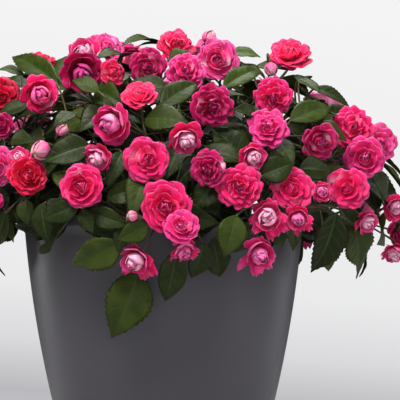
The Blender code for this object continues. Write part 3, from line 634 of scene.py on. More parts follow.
def leaf_shape(leaf, swell=0.0):
    """The blade, thickest along its rib and sharp at its edge, and its petiole if it has a root."""
    half_width = leaf.width / 2 + swell
    thickness = LEAF_RIB_THICKNESS + 2 * swell
    reach = PETIOLE_RADIUS + swell
    down = leaf_point(leaf, 0, 0, -1) - leaf_point(leaf, 0, 0)
    keel_way = down
    if leaf.root is not None:
        ahead = (leaf.base - leaf.root).normalized()
        root_side = (leaf.side - ahead * leaf.side.dot(ahead)).normalized()
        root_down = ahead.cross(root_side)
        # the petiole meets the blade in a mitre, so that it keeps its thickness round the bend
        keel_way = (root_down + down).normalized()
        keel_way /= max(keel_way.dot(down), 0.6)
    points = [
        leaf_point(leaf, 0, -reach, swell),
        leaf_point(leaf, 0, reach, swell),
        leaf_point(leaf, 0, 0, swell) + keel_way * thickness,
        leaf_point(leaf, LEAF_BROADEST, 0, swell),
        leaf_point(leaf, LEAF_BROADEST, 0, swell - thickness),
        leaf_point(leaf, 1 + swell / 40, 0),
    ]
    left, right, keel, rib_top, rib_under, tip = range(6)
    faces = [(left, right, rib_top)]
    for corner, sign in ((left, -1), (right, 1)):
        chain = [corner]
        for along, share in LEAF_OUTLINE:
            chain.append(len(points))
            points.append(leaf_point(leaf, along, sign * share * half_width))
        chain.append(tip)
        found = [(a, b, rib_top) for a, b in zip(chain, chain[1:])]
        found += [(b, a, rib_under) for a, b in zip(chain[1:], chain[2:])]
        found += [(chain[1], corner, keel), (chain[1], keel, rib_under)]
        faces += found if sign > 0 else [(a, c, b) for a, b, c in found]
    if leaf.root is None:
        return Shape(points, [*faces, (left, keel, right)])
    root = len(points)
    size = PETIOLE_ROOT + swell
    points += [
        leaf.root - root_side * size,
        leaf.root + root_side * size,
        leaf.root + root_down * size,
    ]
    for a, b in ((left, right), (right, keel), (keel, left)):
        faces += [(b, a, root + a), (b, root + a, root + b)]
    faces.append((root + left, root + keel, root + right))
    return Shape(points, faces)


# ---------- clearances


class Crowd:
    """What already stands in the mound, so that the next piece can be bent clear of it."""

    def __init__(self):
        self.members = []

    def add(self, owner, shape):
        self.members.append((owner, *bounds(shape), shape.tree()))

    def clear(self, shape, ignore=()):
        low, high = bounds(shape)
        tree = None
        for owner, other_low, other_high, other in self.members:
            if owner in ignore or any(
                low[k] > other_high[k] or high[k] < other_low[k] for k in range(3)
            ):
                continue
            tree = tree or shape.tree()
            if tree.overlap(other):
                return False
        return True


def bounds(shape):
    low = [min(point[k] for point in shape.points) for k in range(3)]
    high = [max(point[k] for point in shape.points) for k in range(3)]
    return low, high


# ---------- layout


def stem_paths():
    """The main axis of each leafy stem, upright in its hole and then arching to its own region."""
    paths = []
    for count, polar, first, spread in STEM_WHORLS:
        for k in range(count):
            angle = math.radians(first + 360.0 * k / count)
            end = mound_point(math.radians(polar), angle, STEM_REACH)
            out = Vector(off_axis(angle))
            foot = out * spread
            foot.z = COMPOST_TOP + COMPOST_LUMP - STEM_DEPTH
            neck = foot + Vector((0, 0, STEM_DEPTH + STEM_NECK))
            outer = polar > OUTER_STEMS_FROM
            rise = neck + Vector((0, 0, OUTER_RISE if outer else INNER_RISE))
            over = end - out * ARCH_BACK * math.sin(math.radians(polar))
            over.z = end.z + OUTER_OVER if outer else end.z - INNER_UNDER
            paths.append([foot, *bezier(neck, rise, over, end, 4)])
    return paths


def show_bloom(index, row):
    x, z, diameter, right, up, form, tone = row
    toward = -math.sqrt(max(1 - right * right - up * up, 0.04))
    facing = Vector((right, toward, up)).normalized()
    centre = mound_front(x, z)
    return Bloom(centre, facing, float(diameter), form, tone, f"show bloom {index}")


def rule_bloom(index, polar, azimuth):
    draw = random.Random(f"rule bloom {index}")
    point = mound_point(polar, azimuth)
    wander = Vector([draw.uniform(-RULE_WANDER, RULE_WANDER) for _ in range(3)])
    facing = (mound_normal(point) + wander).normalized()
    form = draw.choices(RULE_FORMS, RULE_WEIGHTS)[0]
    tone = draw.choice(RULE_TONES)
    if draw.random() < RULE_BUDS:
        return Bloom(point, facing, RULE_BUD_DIAMETER, "bud", "pale", f"rule bloom {index}")
    return Bloom(point, facing, draw.uniform(*RULE_DIAMETERS), form, tone, f"rule bloom {index}")


def place_blooms(crowd):
    """The blooms of the show side and then of the rest, each moved until it is clear."""
    blooms = [show_bloom(k, row) for k, row in enumerate(SHOW_BLOOMS)]
    for bloom in blooms:
        ease(bloom, Vector((0, -1, 0)), crowd)
    places = spiral(SPIRAL_BLOOMS, *BLOOM_POLARS)
    for index, (polar, azimuth) in enumerate(places):
        bloom = rule_bloom(index, polar, azimuth)
        at_front = bloom.centre.y < SHOW_SIDE_DEPTH and bloom.centre.x > SHOW_SIDE_LEFT
        near = min((bloom.centre - other.centre).length for other in blooms)
        if at_front or near < BLOOM_SPACING:
            continue
        ease(bloom, mound_normal(bloom.centre), crowd)
        blooms.append(bloom)
    return blooms


def ease(bloom, way, crowd):
    """Moves a bloom along a way, out more than in, until it clears the others, and adds it."""
    start = bloom.centre.copy()
    for move in EASE_MOVES:
        bloom.centre = start + way * move
        grown = bloom_shape(replace(bloom, diameter=bloom.diameter + 2 * CLEARANCE))
        if crowd.clear(grown):
            break
    else:
        raise ValueError(f"{bloom.seed} finds no clear place")
    crowd.add(bloom.seed, grown)
    neck = [bloom.foot, bloom.foot - bloom.facing * NECK]
    crowd.add(bloom.seed, loft(sweep_rings(neck, [STALK_RADIUS + 2 * CLEARANCE] * 2, 3)))


def nearest_stem(point, ends):
    return min(range(len(ends)), key=lambda k: (ends[k] - point).length)


def group_sprays(blooms, paths):
    """Neighbours share a spray, and each spray is carried by the stem that ends nearest."""
    ends = [path[-1] for path in paths]
    waiting = dict(enumerate(blooms))
    sprays = []
    while waiting:
        first = waiting[next(iter(waiting))]
        mates = sorted(waiting, key=lambda k: (waiting[k].centre - first.centre).length)
        chosen = [
            k
            for k in mates[:SPRAY_BLOOMS]
            if (waiting[k].centre - first.centre).length < SPRAY_REACH
        ]
        group = [waiting.pop(k) for k in chosen]
        middle = sum((bloom.centre for bloom in group), Vector()) / len(group)
        name = f"bloom_spray_{len(sprays) + 1:02d}"
        sprays.append(Spray(name, group, nearest_stem(middle, ends)))
    return sprays


def shoot_path(stem_path, anchor, foot_way):
    """A side shoot from the stem to the anchor, arriving along foot_way."""
    start = min(stem_path[2:], key=lambda point: (point - anchor).length)
    reach = (anchor - start).length
    return bezier(start, start + (anchor - start) * 0.3, anchor - foot_way * reach * 0.3, anchor, 2)


def lay_spray(spray, stem, crowd):
    """Finds an anchor whose shoot and stalks run clear, trying others round the first in turn."""
    feet = [bloom.foot for bloom in spray.blooms]
    middle = sum(feet, Vector()) / len(feet)
    inward = -mound_normal(middle)
    first, second = across(inward)
    own_axes = {axis for axis, _ in stem["axes"]}
    for attempt in range(SPRAY_TRIES):
        turn = attempt * SPIRAL_TURN
        reach = SPRAY_STEP * math.sqrt(attempt)
        wander = (first * math.cos(turn) + second * math.sin(turn)) * reach
        depth = SPRAY_DEPTHS[attempt % len(SPRAY_DEPTHS)]
        spray.anchor = middle + inward * depth + wander
        away = (middle - spray.anchor).normalized()
        spray.shoot = shoot_path(stem["axes"][0][1], spray.anchor, away)
        way = (spray.shoot[-1] - spray.shoot[-2]).normalized()
        joint = spray.anchor + way * SPRAY_JOINT
        for k, bloom in enumerate(spray.blooms):
            bend = bloom.foot - bloom.facing * NECK
            bloom.stalk = [joint, bend]
            bloom.stalk_radii = [STALK_ROOT, STALK_RADIUS]
            if k == 0:
                bloom.stalk.insert(0, spray.anchor + way * FIT_GAP)
                bloom.stalk_radii = [SHOOT_RADIUS + 0.3, SHOOT_RADIUS, STALK_RADIUS]
        ahead = min((b.stalk[-1] - joint).normalized().dot(way) for b in spray.blooms)
        if len(spray.blooms) > 1 and ahead < SPRAY_AHEAD:
            continue
        shoot = shoot_shape(spray, CLEARANCE)
        stalks = [stalk_shape(bloom, CLEARANCE) for bloom in spray.blooms]
        tree = shoot_shape(spray).tree()
        if (
            crowd.clear(shoot, own_axes)
            and all(crowd.clear(s, {b.seed}) for s, b in zip(stalks, spray.blooms))
            and not any(stalk_shape(bloom).tree().overlap(tree) for bloom in spray.blooms)
            and not any(stalk.tree().overlap(tree) for stalk in stalks[1:])
        ):
            break
    else:
        raise ValueError(f"{spray.name} finds no clear way")
    for stalk in stalks:
        crowd.add(spray.name, stalk)
    crowd.add(stem["name"] + spray.name, shoot)


def stalk_shape(bloom, swell=0.0):
    path = [*bloom.stalk, bloom.foot]
    radii = [*bloom.stalk_radii, STALK_RADIUS]
    return loft(sweep_rings(path, [radius + 2 * swell for radius in radii], 3))


def shoot_shape(spray, swell=0.0):
    return loft(sweep_rings(spray.shoot, [SHOOT_RADIUS + 2 * swell] * len(spray.shoot), 3))


def stem_shape(path):
    radii = [STEM_RADIUS * (1 - STEM_TAPER * k) for k in range(len(path))]
    return loft(sweep_rings(path, radii, 4))


def closest_on(path, point):
    """The point of a path, short of its end, that is nearest to a point."""
    spots = []
    for a, b in zip(path, path[1:]):
        along = b - a
        share = max(0.15, min(0.85, (point - a).dot(along) / along.length_squared))
        spots.append(a + along * share)
    return min(spots, key=lambda spot: (spot - point).length)


def root_leaf(leaf, stems, crowd, swell, rule, shelf):
    """Gives a leaf its petiole from a stem or shoot near it, if one of them runs clear."""
    roots = []
    for stem in stems:
        for axis, path in stem["axes"]:
            root = closest_on(path, leaf.base)
            roots.append(((root - leaf.base).length, axis, root, stem))
    for reach, axis, root, stem in sorted(roots, key=lambda row: row[0])[: rule.tries]:
        ahead = (leaf.base - root).normalized()
        sideways = abs(ahead.dot(leaf.side)) > rule.sideways
        if reach > PETIOLE_REACH or sideways or ahead.dot(leaf.chord) < rule.back:
            continue
        leaf.root = root
        if crowd.clear(leaf_shape(leaf, swell), {axis}):
            stem.setdefault(shelf, []).append(leaf)
            crowd.add(stem["name"] + " leaf", leaf_shape(leaf, swell))
            return True
    return False


def place_leaf(leaf, way, stems, crowd):
    """Bends a leaf along a way until blade and petiole are clear, and adds it to a stem."""
    for slide, (base_move, tip_move, roll) in itertools.product(LEAF_SLIDES, LEAF_MOVES):
        aside = leaf.side * slide[0] + leaf.chord * slide[1]
        base_shift = way * base_move + aside
        tried = leaf.moved(base_shift, base_shift + way * tip_move, roll)
        if crowd.clear(leaf_shape(tried, CLEARANCE)):
            if root_leaf(tried, stems, crowd, CLEARANCE, LEAF_ROOTS, "leaves"):
                return True
    return False


def show_leaf(index, row):
    base_x, base_z, tip_x, tip_z, width = row
    draw = random.Random(f"show leaf {index}")
    base, tip = mound_front(base_x, base_z), mound_front(tip_x, tip_z)
    normal = (mound_normal(base) + Vector((0, -0.5, 0))).normalized()
    return Leaf(base - normal * 4.0, tip, normal, float(width), draw.uniform(0.35, 0.8))


def rule_leaf(name, polar, azimuth, habit, depths, lengths):
    """A leaf that hangs down the mound from a base at its skin or inside it, as chance has it."""
    draw = random.Random(name)
    base = mound_point(polar, azimuth, draw.uniform(*depths))
    normal = mound_normal(base)
    out = Vector(off_axis(azimuth))
    down = Vector((0, 0, -1)) + out * habit.outward
    down = (down - normal * down.dot(normal)).normalized()
    twist = Matrix.Rotation(draw.uniform(-habit.twist, habit.twist), 3, normal)
    length = draw.uniform(*lengths)
    way = (twist @ down + normal * draw.uniform(*habit.lift)).normalized()
    width = length * draw.uniform(*LEAF_SLENDERNESS)
    return Leaf(base, base + way * length, normal, width, draw.uniform(*habit.arch))


def layout():
    """Everything that grows, placed: the stems with their leaves, and the sprays of blooms."""
    crowd = Crowd()
    crowd.add("planter", planter_shape())
    crowd.add("compost", compost_shape())
    paths = stem_paths()
    stems = []
    for k, path in enumerate(paths):
        name = f"leafy_stem_{k + 1:02d}"
        stems.append({"name": name, "axes": [(name, path)], "shoots": [], "leaves": []})
        crowd.add(name, stem_shape(path))
    sprays = group_sprays(place_blooms(crowd), paths)
    for spray in sprays:
        stem = stems[spray.stem]
        lay_spray(spray, stem, crowd)
        stem["axes"].append((stem["name"] + spray.name, spray.shoot))
        stem["shoots"].append(spray)
    for k, row in enumerate(SHOW_LEAVES):
        if not place_leaf(show_leaf(k, row), Vector((0, 1, 0)), stems, crowd):
            raise ValueError(f"show leaf {k} finds no clear place")
    for k, (polar, azimuth) in enumerate(spiral(SPIRAL_LEAVES, *LEAF_POLARS)):
        leaf = rule_leaf(f"rule leaf {k}", polar, azimuth, SKIN_HABIT, LEAF_DEPTHS, LEAF_LENGTHS)
        if k % 2 == 0 or leaf.base.y > SHOW_LEAF_DEPTH:
            place_leaf(leaf, -leaf.normal, stems, crowd)
    return stems, sprays, crowd


# ---------- leaves that fill the mound

# Rounds of filling leaves: how many places, from how many degrees from the top, first turn,
# depth in the mound, length
FILL_ROUNDS = (
    (230, 5.0, 0.7, (0.84, 0.97), (42.0, 62.0)),
    (300, 5.0, 2.1, (0.66, 0.84), (48.0, 70.0)),
    (260, 5.0, 1.3, (0.44, 0.66), (56.0, 76.0)),
    (260, 5.0, 3.4, (0.88, 0.99), (32.0, 48.0)),
    (240, 5.0, 5.0, (0.74, 0.92), (36.0, 54.0)),
    (320, 66.0, 0.2, (0.78, 0.98), (38.0, 56.0)),
)
FILL_DOWN_TO = 118  # degrees from the top
FILL_HABIT = Habit(outward=0.5, twist=2.2, lift=(-0.15, 0.35), arch=(0.3, 1.0))
FILL_ROOTS = RootRule(tries=3, sideways=0.85, back=-0.5)
# How a filling leaf is moved clear, in turn: slid sideways, and rolled
FILL_MOVES = ((0.0, 0.0), (-7.0, 0.35), (8.0, -0.35), (15.0, 0.6), (-14.0, -0.6), (24.0, 0.2))
FILL_SWELL = 0.1
FILL_LOWEST = 240.0  # filling leaves stay above this height, so that the planter shows
FILL_PAST = 4.0  # how far their tips may pass the solids' box
INNER_DEPTH = 0.72  # leaves deeper in the mound than this are made with fewer teeth


def fill_mound(stems, crowd):
    """More leaves between those of the solids, each clear of all that stands already."""
    low = [edge / MM - FILL_PAST for edge in CAD_BOX[0]]
    high = [edge / MM + FILL_PAST for edge in CAD_BOX[1]]
    for count, start, first, depths, lengths in FILL_ROUNDS:
        shelf = "inner" if max(depths) < INNER_DEPTH else "leaves"
        for k, (polar, azimuth) in enumerate(spiral(count, start, FILL_DOWN_TO)):
            name = f"fill {first} {k}"
            leaf = rule_leaf(name, polar, azimuth + first, FILL_HABIT, depths, lengths)
            for slide, roll in FILL_MOVES:
                tried = leaf.moved(leaf.side * slide, leaf.side * slide, roll)
                inside = all(low[a] < tried.tip[a] < high[a] for a in range(3))
                inside = inside and min(tried.tip.z, tried.base.z) > FILL_LOWEST
                if inside and crowd.clear(leaf_shape(tried, FILL_SWELL)):
                    if root_leaf(tried, stems, crowd, FILL_SWELL, FILL_ROOTS, shelf):
                        break


# ---------- skins

FACE, BACK, GREEN = 0, 1, 2  # a piece's material slots: upper side, underside, stems
PLAIN = (1, 1, 1)  # the tint that changes no colour


def grid_quads(numbers, around=False):
    """Quads of a grid of point numbers; they face the cross product of columns and rows."""
    if around:
        numbers = np.concatenate([numbers, numbers[:, :1]], axis=1)
    corners = numbers[:-1, :-1], numbers[:-1, 1:], numbers[1:, 1:], numbers[1:, :-1]
    return np.stack(corners, axis=-1).reshape(-1, 4)


def painted_shade_at(point):
    """Painted shade of a leaf or stem at its place in the mound, darker inside where shade falls: 1
    at the skin, less inside.
    """
    height = point.z - MOUND_CENTRE
    sides = point.x / MOUND_RADIUS, point.y / MOUND_RADIUS
    reach = math.hypot(*sides, height / mound_rise(height))
    low, high = PAINTED_SHADE_WITHIN
    return INNER_PAINTED_SHADE + (1 - INNER_PAINTED_SHADE) * min(max((reach - low) / (high - low), 0), 1)


def mixed(one, other, share):
    return one * (1 - share) + other * share


def rising(value, start, span):
    """0 up to start, rising to 1 over the span."""
    return np.clip((value - start) / span, 0, 1)


def hump(value, width):
    """1 at 0, falling off smoothly either side."""
    return np.exp(-((value / width) ** 2))


def spokes(turn):
    """The way out from the Z axis at an angle, and the way across it."""
    radial = np.array([math.cos(turn), math.sin(turn), 0.0])
    return radial, np.array([math.sin(turn), -math.cos(turn), 0.0])


class Skin:
    """A piece's surface as it grows: points, faces, and what each point tells the materials."""

    def __init__(self):
        self.points, self.places, self.tints = [], [], []
        self.faces, self.slots = [], []
        self.size = 0

    def put(self, points, place, tint):
        """Adds points, each with its place on the leaf or petal, and returns their numbers."""
        points, place = (np.asarray(grid, float).reshape(-1, 3) for grid in (points, place))
        count = len(points)
        self.points.append(points)
        self.places.append(np.broadcast_to(place, (count, 3)))
        shades = np.ones((count, 4))
        shades[:, :3] = np.reshape(tint, (-1, 3))
        self.tints.append(shades)
        self.size += count
        return np.arange(self.size - count, self.size)

    def close(self, faces, slot):
        self.faces += faces.tolist()
        self.slots += [slot] * len(faces)

    def fan(self, ring, middle, place, slot, tint):
        """Closes a ring of points with triangles that meet in its middle."""
        centre = self.put(middle, place, tint)[0]
        self.close(np.array([(a, b, centre) for a, b in zip(ring, np.roll(ring, -1))]), slot)

    def slab(self, upper, under, place, tint, tint_under=None, slots=(FACE, BACK)):
        """A thin closed blade from two grids of points that share their edge."""
        rows, columns = upper.shape[:2]
        tint = np.broadcast_to(tint, (rows, columns, 3))
        tint_under = tint if tint_under is None else np.broadcast_to(tint_under, (rows, columns, 3))
        numbers = self.put(upper, place, tint).reshape(rows, columns)
        below = numbers.copy()
        inner = [grid[1:-1, 1:-1] for grid in (under, place, tint_under)]
        below[1:-1, 1:-1] = self.put(*inner).reshape(rows - 2, columns - 2)
        self.close(grid_quads(numbers), slots[0])
        self.close(grid_quads(below)[:, ::-1], slots[1])

    def tube(self, path, radii, sides, slot, tint):
        """A round closed stem along a path."""
        rings = sweep_rings(path, radii, sides)
        grid = np.array([[point for _, point in ring] for ring in rings])
        place = np.zeros((len(path), sides, 3))
        place[..., 0] = np.linspace(0, 1, len(path))[:, None]
        place[..., 1] = np.linspace(0, 1, sides, endpoint=False)
        # the third number of a stem's place carries the painted shade of its depth in the mound
        place[..., 2] = np.array([painted_shade_at(point) for point in path])[:, None]
        numbers = self.put(grid, place, tint).reshape(len(path), sides)
        self.close(grid_quads(numbers, around=True), slot)
        self.fan(numbers[0][::-1], path[0], (0.0, 0, painted_shade_at(path[0])), slot, tint)
        self.fan(numbers[-1], path[-1], (1.0, 0, painted_shade_at(path[-1])), slot, tint)

    def turned(self, grid, low, high):
        """A body round the Z axis: a grid of its rings, and the heights where its ends close."""
        rows, sides = grid.shape[:2]
        numbers = self.put(grid, (0, 0, 0), PLAIN).reshape(rows, sides)
        self.close(grid_quads(numbers, around=True), FACE)
        self.fan(numbers[0][::-1], (0, 0, low), (0, 0, 0), FACE, PLAIN)
        self.fan(numbers[-1], (0, 0, high), (0, 0, 0), FACE, PLAIN)

    def piece(self, name, node, materials, smooth_angle=None):
        """The object itself, in metres, standing for its solid."""
        mesh = bpy.data.meshes.new(name)
        points = np.concatenate(self.points) * MM
        mesh.from_pydata(points.tolist(), [], self.faces)
        mesh.polygons.foreach_set("material_index", self.slots)
        place = mesh.attributes.new("place", "FLOAT_VECTOR", "POINT")
        place.data.foreach_set("vector", np.concatenate(self.places).ravel())
        # each point's colour; on leaves and their petioles it carries their painted shade too
        tint = mesh.attributes.new("tint", "FLOAT_COLOR", "POINT")
        tint.data.foreach_set("color", np.concatenate(self.tints).ravel())
        for material in materials:
            mesh.materials.append(material)
        mesh.update()
        mesh.shade_smooth()
        if smooth_angle:
            mesh.set_sharp_from_angle(angle=math.radians(smooth_angle))
        made = stand(name, mesh)
        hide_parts(node)
        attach(made, "root")


def stand(name, data):
    """The object that shows a mesh, a lamp or a camera in the scene."""
    made = bpy.data.objects.new(name, data)
    bpy.context.scene.collection.objects.link(made)
    return made


def rounded(path, steps):
    """A smooth way through a path's points, in steps from each to the next."""
    ends = [path[0] * 2 - path[1], *path, path[-1] * 2 - path[-2]]
    way = []
    for a, b, c, d in zip(ends, ends[1:], ends[2:], ends[3:]):
        for k in range(steps):
            t = k / steps
            bend = (a * 2 - b * 5 + c * 4 - d) * t**2 + (b * 3 - a - c * 3 + d) * t**3
            way.append((b * 2 + (c - a) * t + bend) * 0.5)
    return [*way, path[-1]]


# ---------- leaves and stems in detail

# Leaves of the solids that are still small, by stem: each one's share of its full length
SMALL_LEAVES = {
    7: {4: 0.55},
    9: {12: 0.62, 13: 0.50, 14: 0.45},
    10: {21: 0.70},
    11: {6: 0.60, 7: 0.45},
    15: {2: 0.75, 7: 0.50, 10: 0.40},
}
# Leaves that hang in the shade of the blooms over them, by stem; the shade is painted into their
# colour
LEAVES_IN_PAINTED_SHADE = {
    1: (8,),
    4: (17,),
    5: (12,),
    8: (2,),
    9: (6, 7, 12, 17),
    10: (10, 13, 20, 24),
    15: (5,),
}
# how much the painted shade darkens those leaves' colour
PAINTED_SHADE_FACTOR = 0.5
LEAF_ROWS = 27  # of points: two to a tooth, and one
INNER_LEAF_ROWS = 13
INNER_PAINTED_SHADE = 0.18  # painted shade: how bright a leaf is made deep in the mound
PAINTED_SHADE_WITHIN = (0.48, 0.95)  # shares of the mound's radius where the painted shade makes leaves darkest, and where they are bright
LEAF_COLUMNS = (-1.0, -0.80, -0.52, -0.22, 0.0, 0.22, 0.52, 0.80, 1.0)
LEAF_VEINS = 6.5  # side veins from base to tip
VEIN_SLANT = 0.20
LEAF_THICKNESS = 0.55
RIB_ROUNDING = 2.0
# Half a blade's outline: size, and how it swells from the base and thins to the tip
OUTLINE_SIZE = 4.155
OUTLINE_BASE = 0.82
OUTLINE_TIP = 1.32
TOOTH_OUT = 0.040  # teeth and the notches between them, in half widths
TOOTH_IN = 0.045
TOOTH_FROM, TOOTH_TO = 0.08, 0.97
TOOTH_SLANT = 0.35  # how far a tooth points to the tip, in rows
PETIOLE_SIDES = 6
STEM_SIDES = 9
GROWN_TAPER = 0.45  # the share of its radius that a stem loses on its way
STEM_JOINTS = 5  # how many times a stem swells


def blade_grid(leaf, along, over, lift):
    """Points of the arched blade for whole arrays, with its fold rounded over the rib."""
    half = leaf.arch / 2
    up = leaf.side.cross(leaf.chord)
    side, chord, up = np.array(leaf.side), np.array(leaf.chord), np.array(up)
    angle = half - leaf.arch * along
    scale = (leaf.tip - leaf.base).length / (2 * math.sin(half))
    forward = (math.sin(half) - np.sin(angle)) * scale
    rise = (np.cos(angle) - math.cos(half)) * scale
    out = up * np.cos(angle)[..., None] - chord * np.sin(angle)[..., None]
    fold = LEAF_FOLD * (np.sqrt(over**2 + RIB_ROUNDING**2) - RIB_ROUNDING)
    spot = np.array(leaf.base) + chord * forward[..., None] + up * rise[..., None]
    return spot + side * over[..., None] + out * (lift + fold)[..., None]


def grow_leaf(skin, leaf, seed, greens, count=LEAF_ROWS):
    """One leaf: a toothed, quilted blade with its ribs, on a petiole."""
    draw = random.Random(seed)
    rows = np.arange(count)[:, None]
    across_blade = np.array(LEAF_COLUMNS if count == LEAF_ROWS else LEAF_COLUMNS[::2])[None, :]
    out = np.abs(across_blade)
    along = rows / (count - 1) + 0 * across_blade
    outline = OUTLINE_SIZE * along**OUTLINE_BASE * (1 - along) ** OUTLINE_TIP
    edge = (out == 1.0) & (along > TOOTH_FROM) & (along < TOOTH_TO)
    outline *= 1 + np.where(edge, np.where(rows % 2, TOOTH_OUT, -TOOTH_IN), 0)
    half = leaf.width / 2 * draw.uniform(0.98, 1.08)
    over = across_blade * np.maximum(half * outline, PETIOLE_RADIUS * (1 - along) ** 0.5)
    seated = along + np.where(edge & (rows % 2 == 1), TOOTH_SLANT / (count - 1), 0)
    # the blade's relief: quilting between its veins, waves and droop of its edge and tip, its rib
    size = leaf.width / 30
    furrow = np.abs(np.sin(math.pi * LEAF_VEINS * (along - VEIN_SLANT * out)))
    body = np.sin(math.pi * np.clip(out, 0, 1)) * np.sin(math.pi * along) ** 0.5
    wave = np.sin(2 * math.pi * (draw.uniform(1.6, 2.6) * along + draw.random()) + across_blade)
    lift = 1.0 * size * furrow**0.8 * body
    lift = lift + 0.9 * size * wave * out**2 * np.sin(math.pi * along)
    lift = lift - draw.uniform(0.0, 2.6) * size * out**2 * outline
    lift = lift - draw.uniform(0.0, 3.5) * size * np.clip(along - 0.7, 0, 1) ** 2 * 10
    lift = lift - 0.30 * hump(over, 0.9) * (1 - along)
    rib = 1.1 * hump(over, 1.3) * (1 - 0.75 * along)
    thick = (LEAF_THICKNESS + rib + 0.15 * (1 - furrow) ** 2 * body) * (1 - 0.3 * out**4)
    upper = blade_grid(leaf, seated, over, lift)
    under = blade_grid(leaf, seated, over, lift - thick)
    place = np.stack([along, across_blade + 0 * along, 0 * along + draw.random()], axis=-1)
    young = draw.random() ** 2.2
    # a random tone of the leaf, times the painted shade of its depth in the mound
    shade = draw.uniform(0.80, 1.15) * painted_shade_at(leaf.base.lerp(leaf.tip, 0.5))
    tint = [mixed(grown, fresh, young) * shade for grown, fresh in zip(*greens)]
    skin.slab(upper, under, place, tint)
    if leaf.root is None:
        return
    start = Vector(blade_grid(leaf, np.array(0.0), np.array(0.0), np.array(0.0)))
    half_arch = leaf.arch / 2
    up = leaf.side.cross(leaf.chord)
    ahead = leaf.chord * math.cos(half_arch) + up * math.sin(half_arch)
    reach = (start - leaf.root).length
    bend = start - (ahead * 0.5 + (start - leaf.root).normalized() * 0.5) * reach * 0.3
    path = bezier(leaf.root, leaf.root + (bend - leaf.root) * 0.45, bend, start + ahead * 1.5, 6)
    radii = [PETIOLE_RADIUS * (1.05 - 0.03 * k) for k in range(len(path))]
    skin.tube(path, radii, PETIOLE_SIDES, GREEN, tint)


def grow_stem(skin, path, radius, taper, tint, seed):
    """A fleshy round stem, swollen at evenly spaced joints."""
    draw = random.Random(seed)
    way = rounded(path, 7)
    joints = draw.uniform(0.0, 0.2)
    radii = []
    for k in range(len(way)):
        share = k / (len(way) - 1)
        knot = math.cos(math.pi * STEM_JOINTS * (share + joints)) ** 8
        radii.append(radius * (1 - taper * share) * (0.96 + 0.24 * knot))
    skin.tube(way, radii, STEM_SIDES, GREEN, tint)


# ---------- blooms in detail


class Whorl(NamedTuple):
    """A ring of like petals. All lengths are in bloom radii."""

    count: int
    line: tuple  # a petal's middle line as (radius, height), from its claw to its rim
    half_width: float
    wrap: float  # how closely a petal bends round the heart
    notch: float  # depth of the notch in its rim
    phase: float  # turn of the first petal, in steps from petal to petal
    rows: int
    columns: int
    depth: float  # 0 for the bloom's rim, 1 for its heart
    twist: float  # how far a petal may lean about its middle line


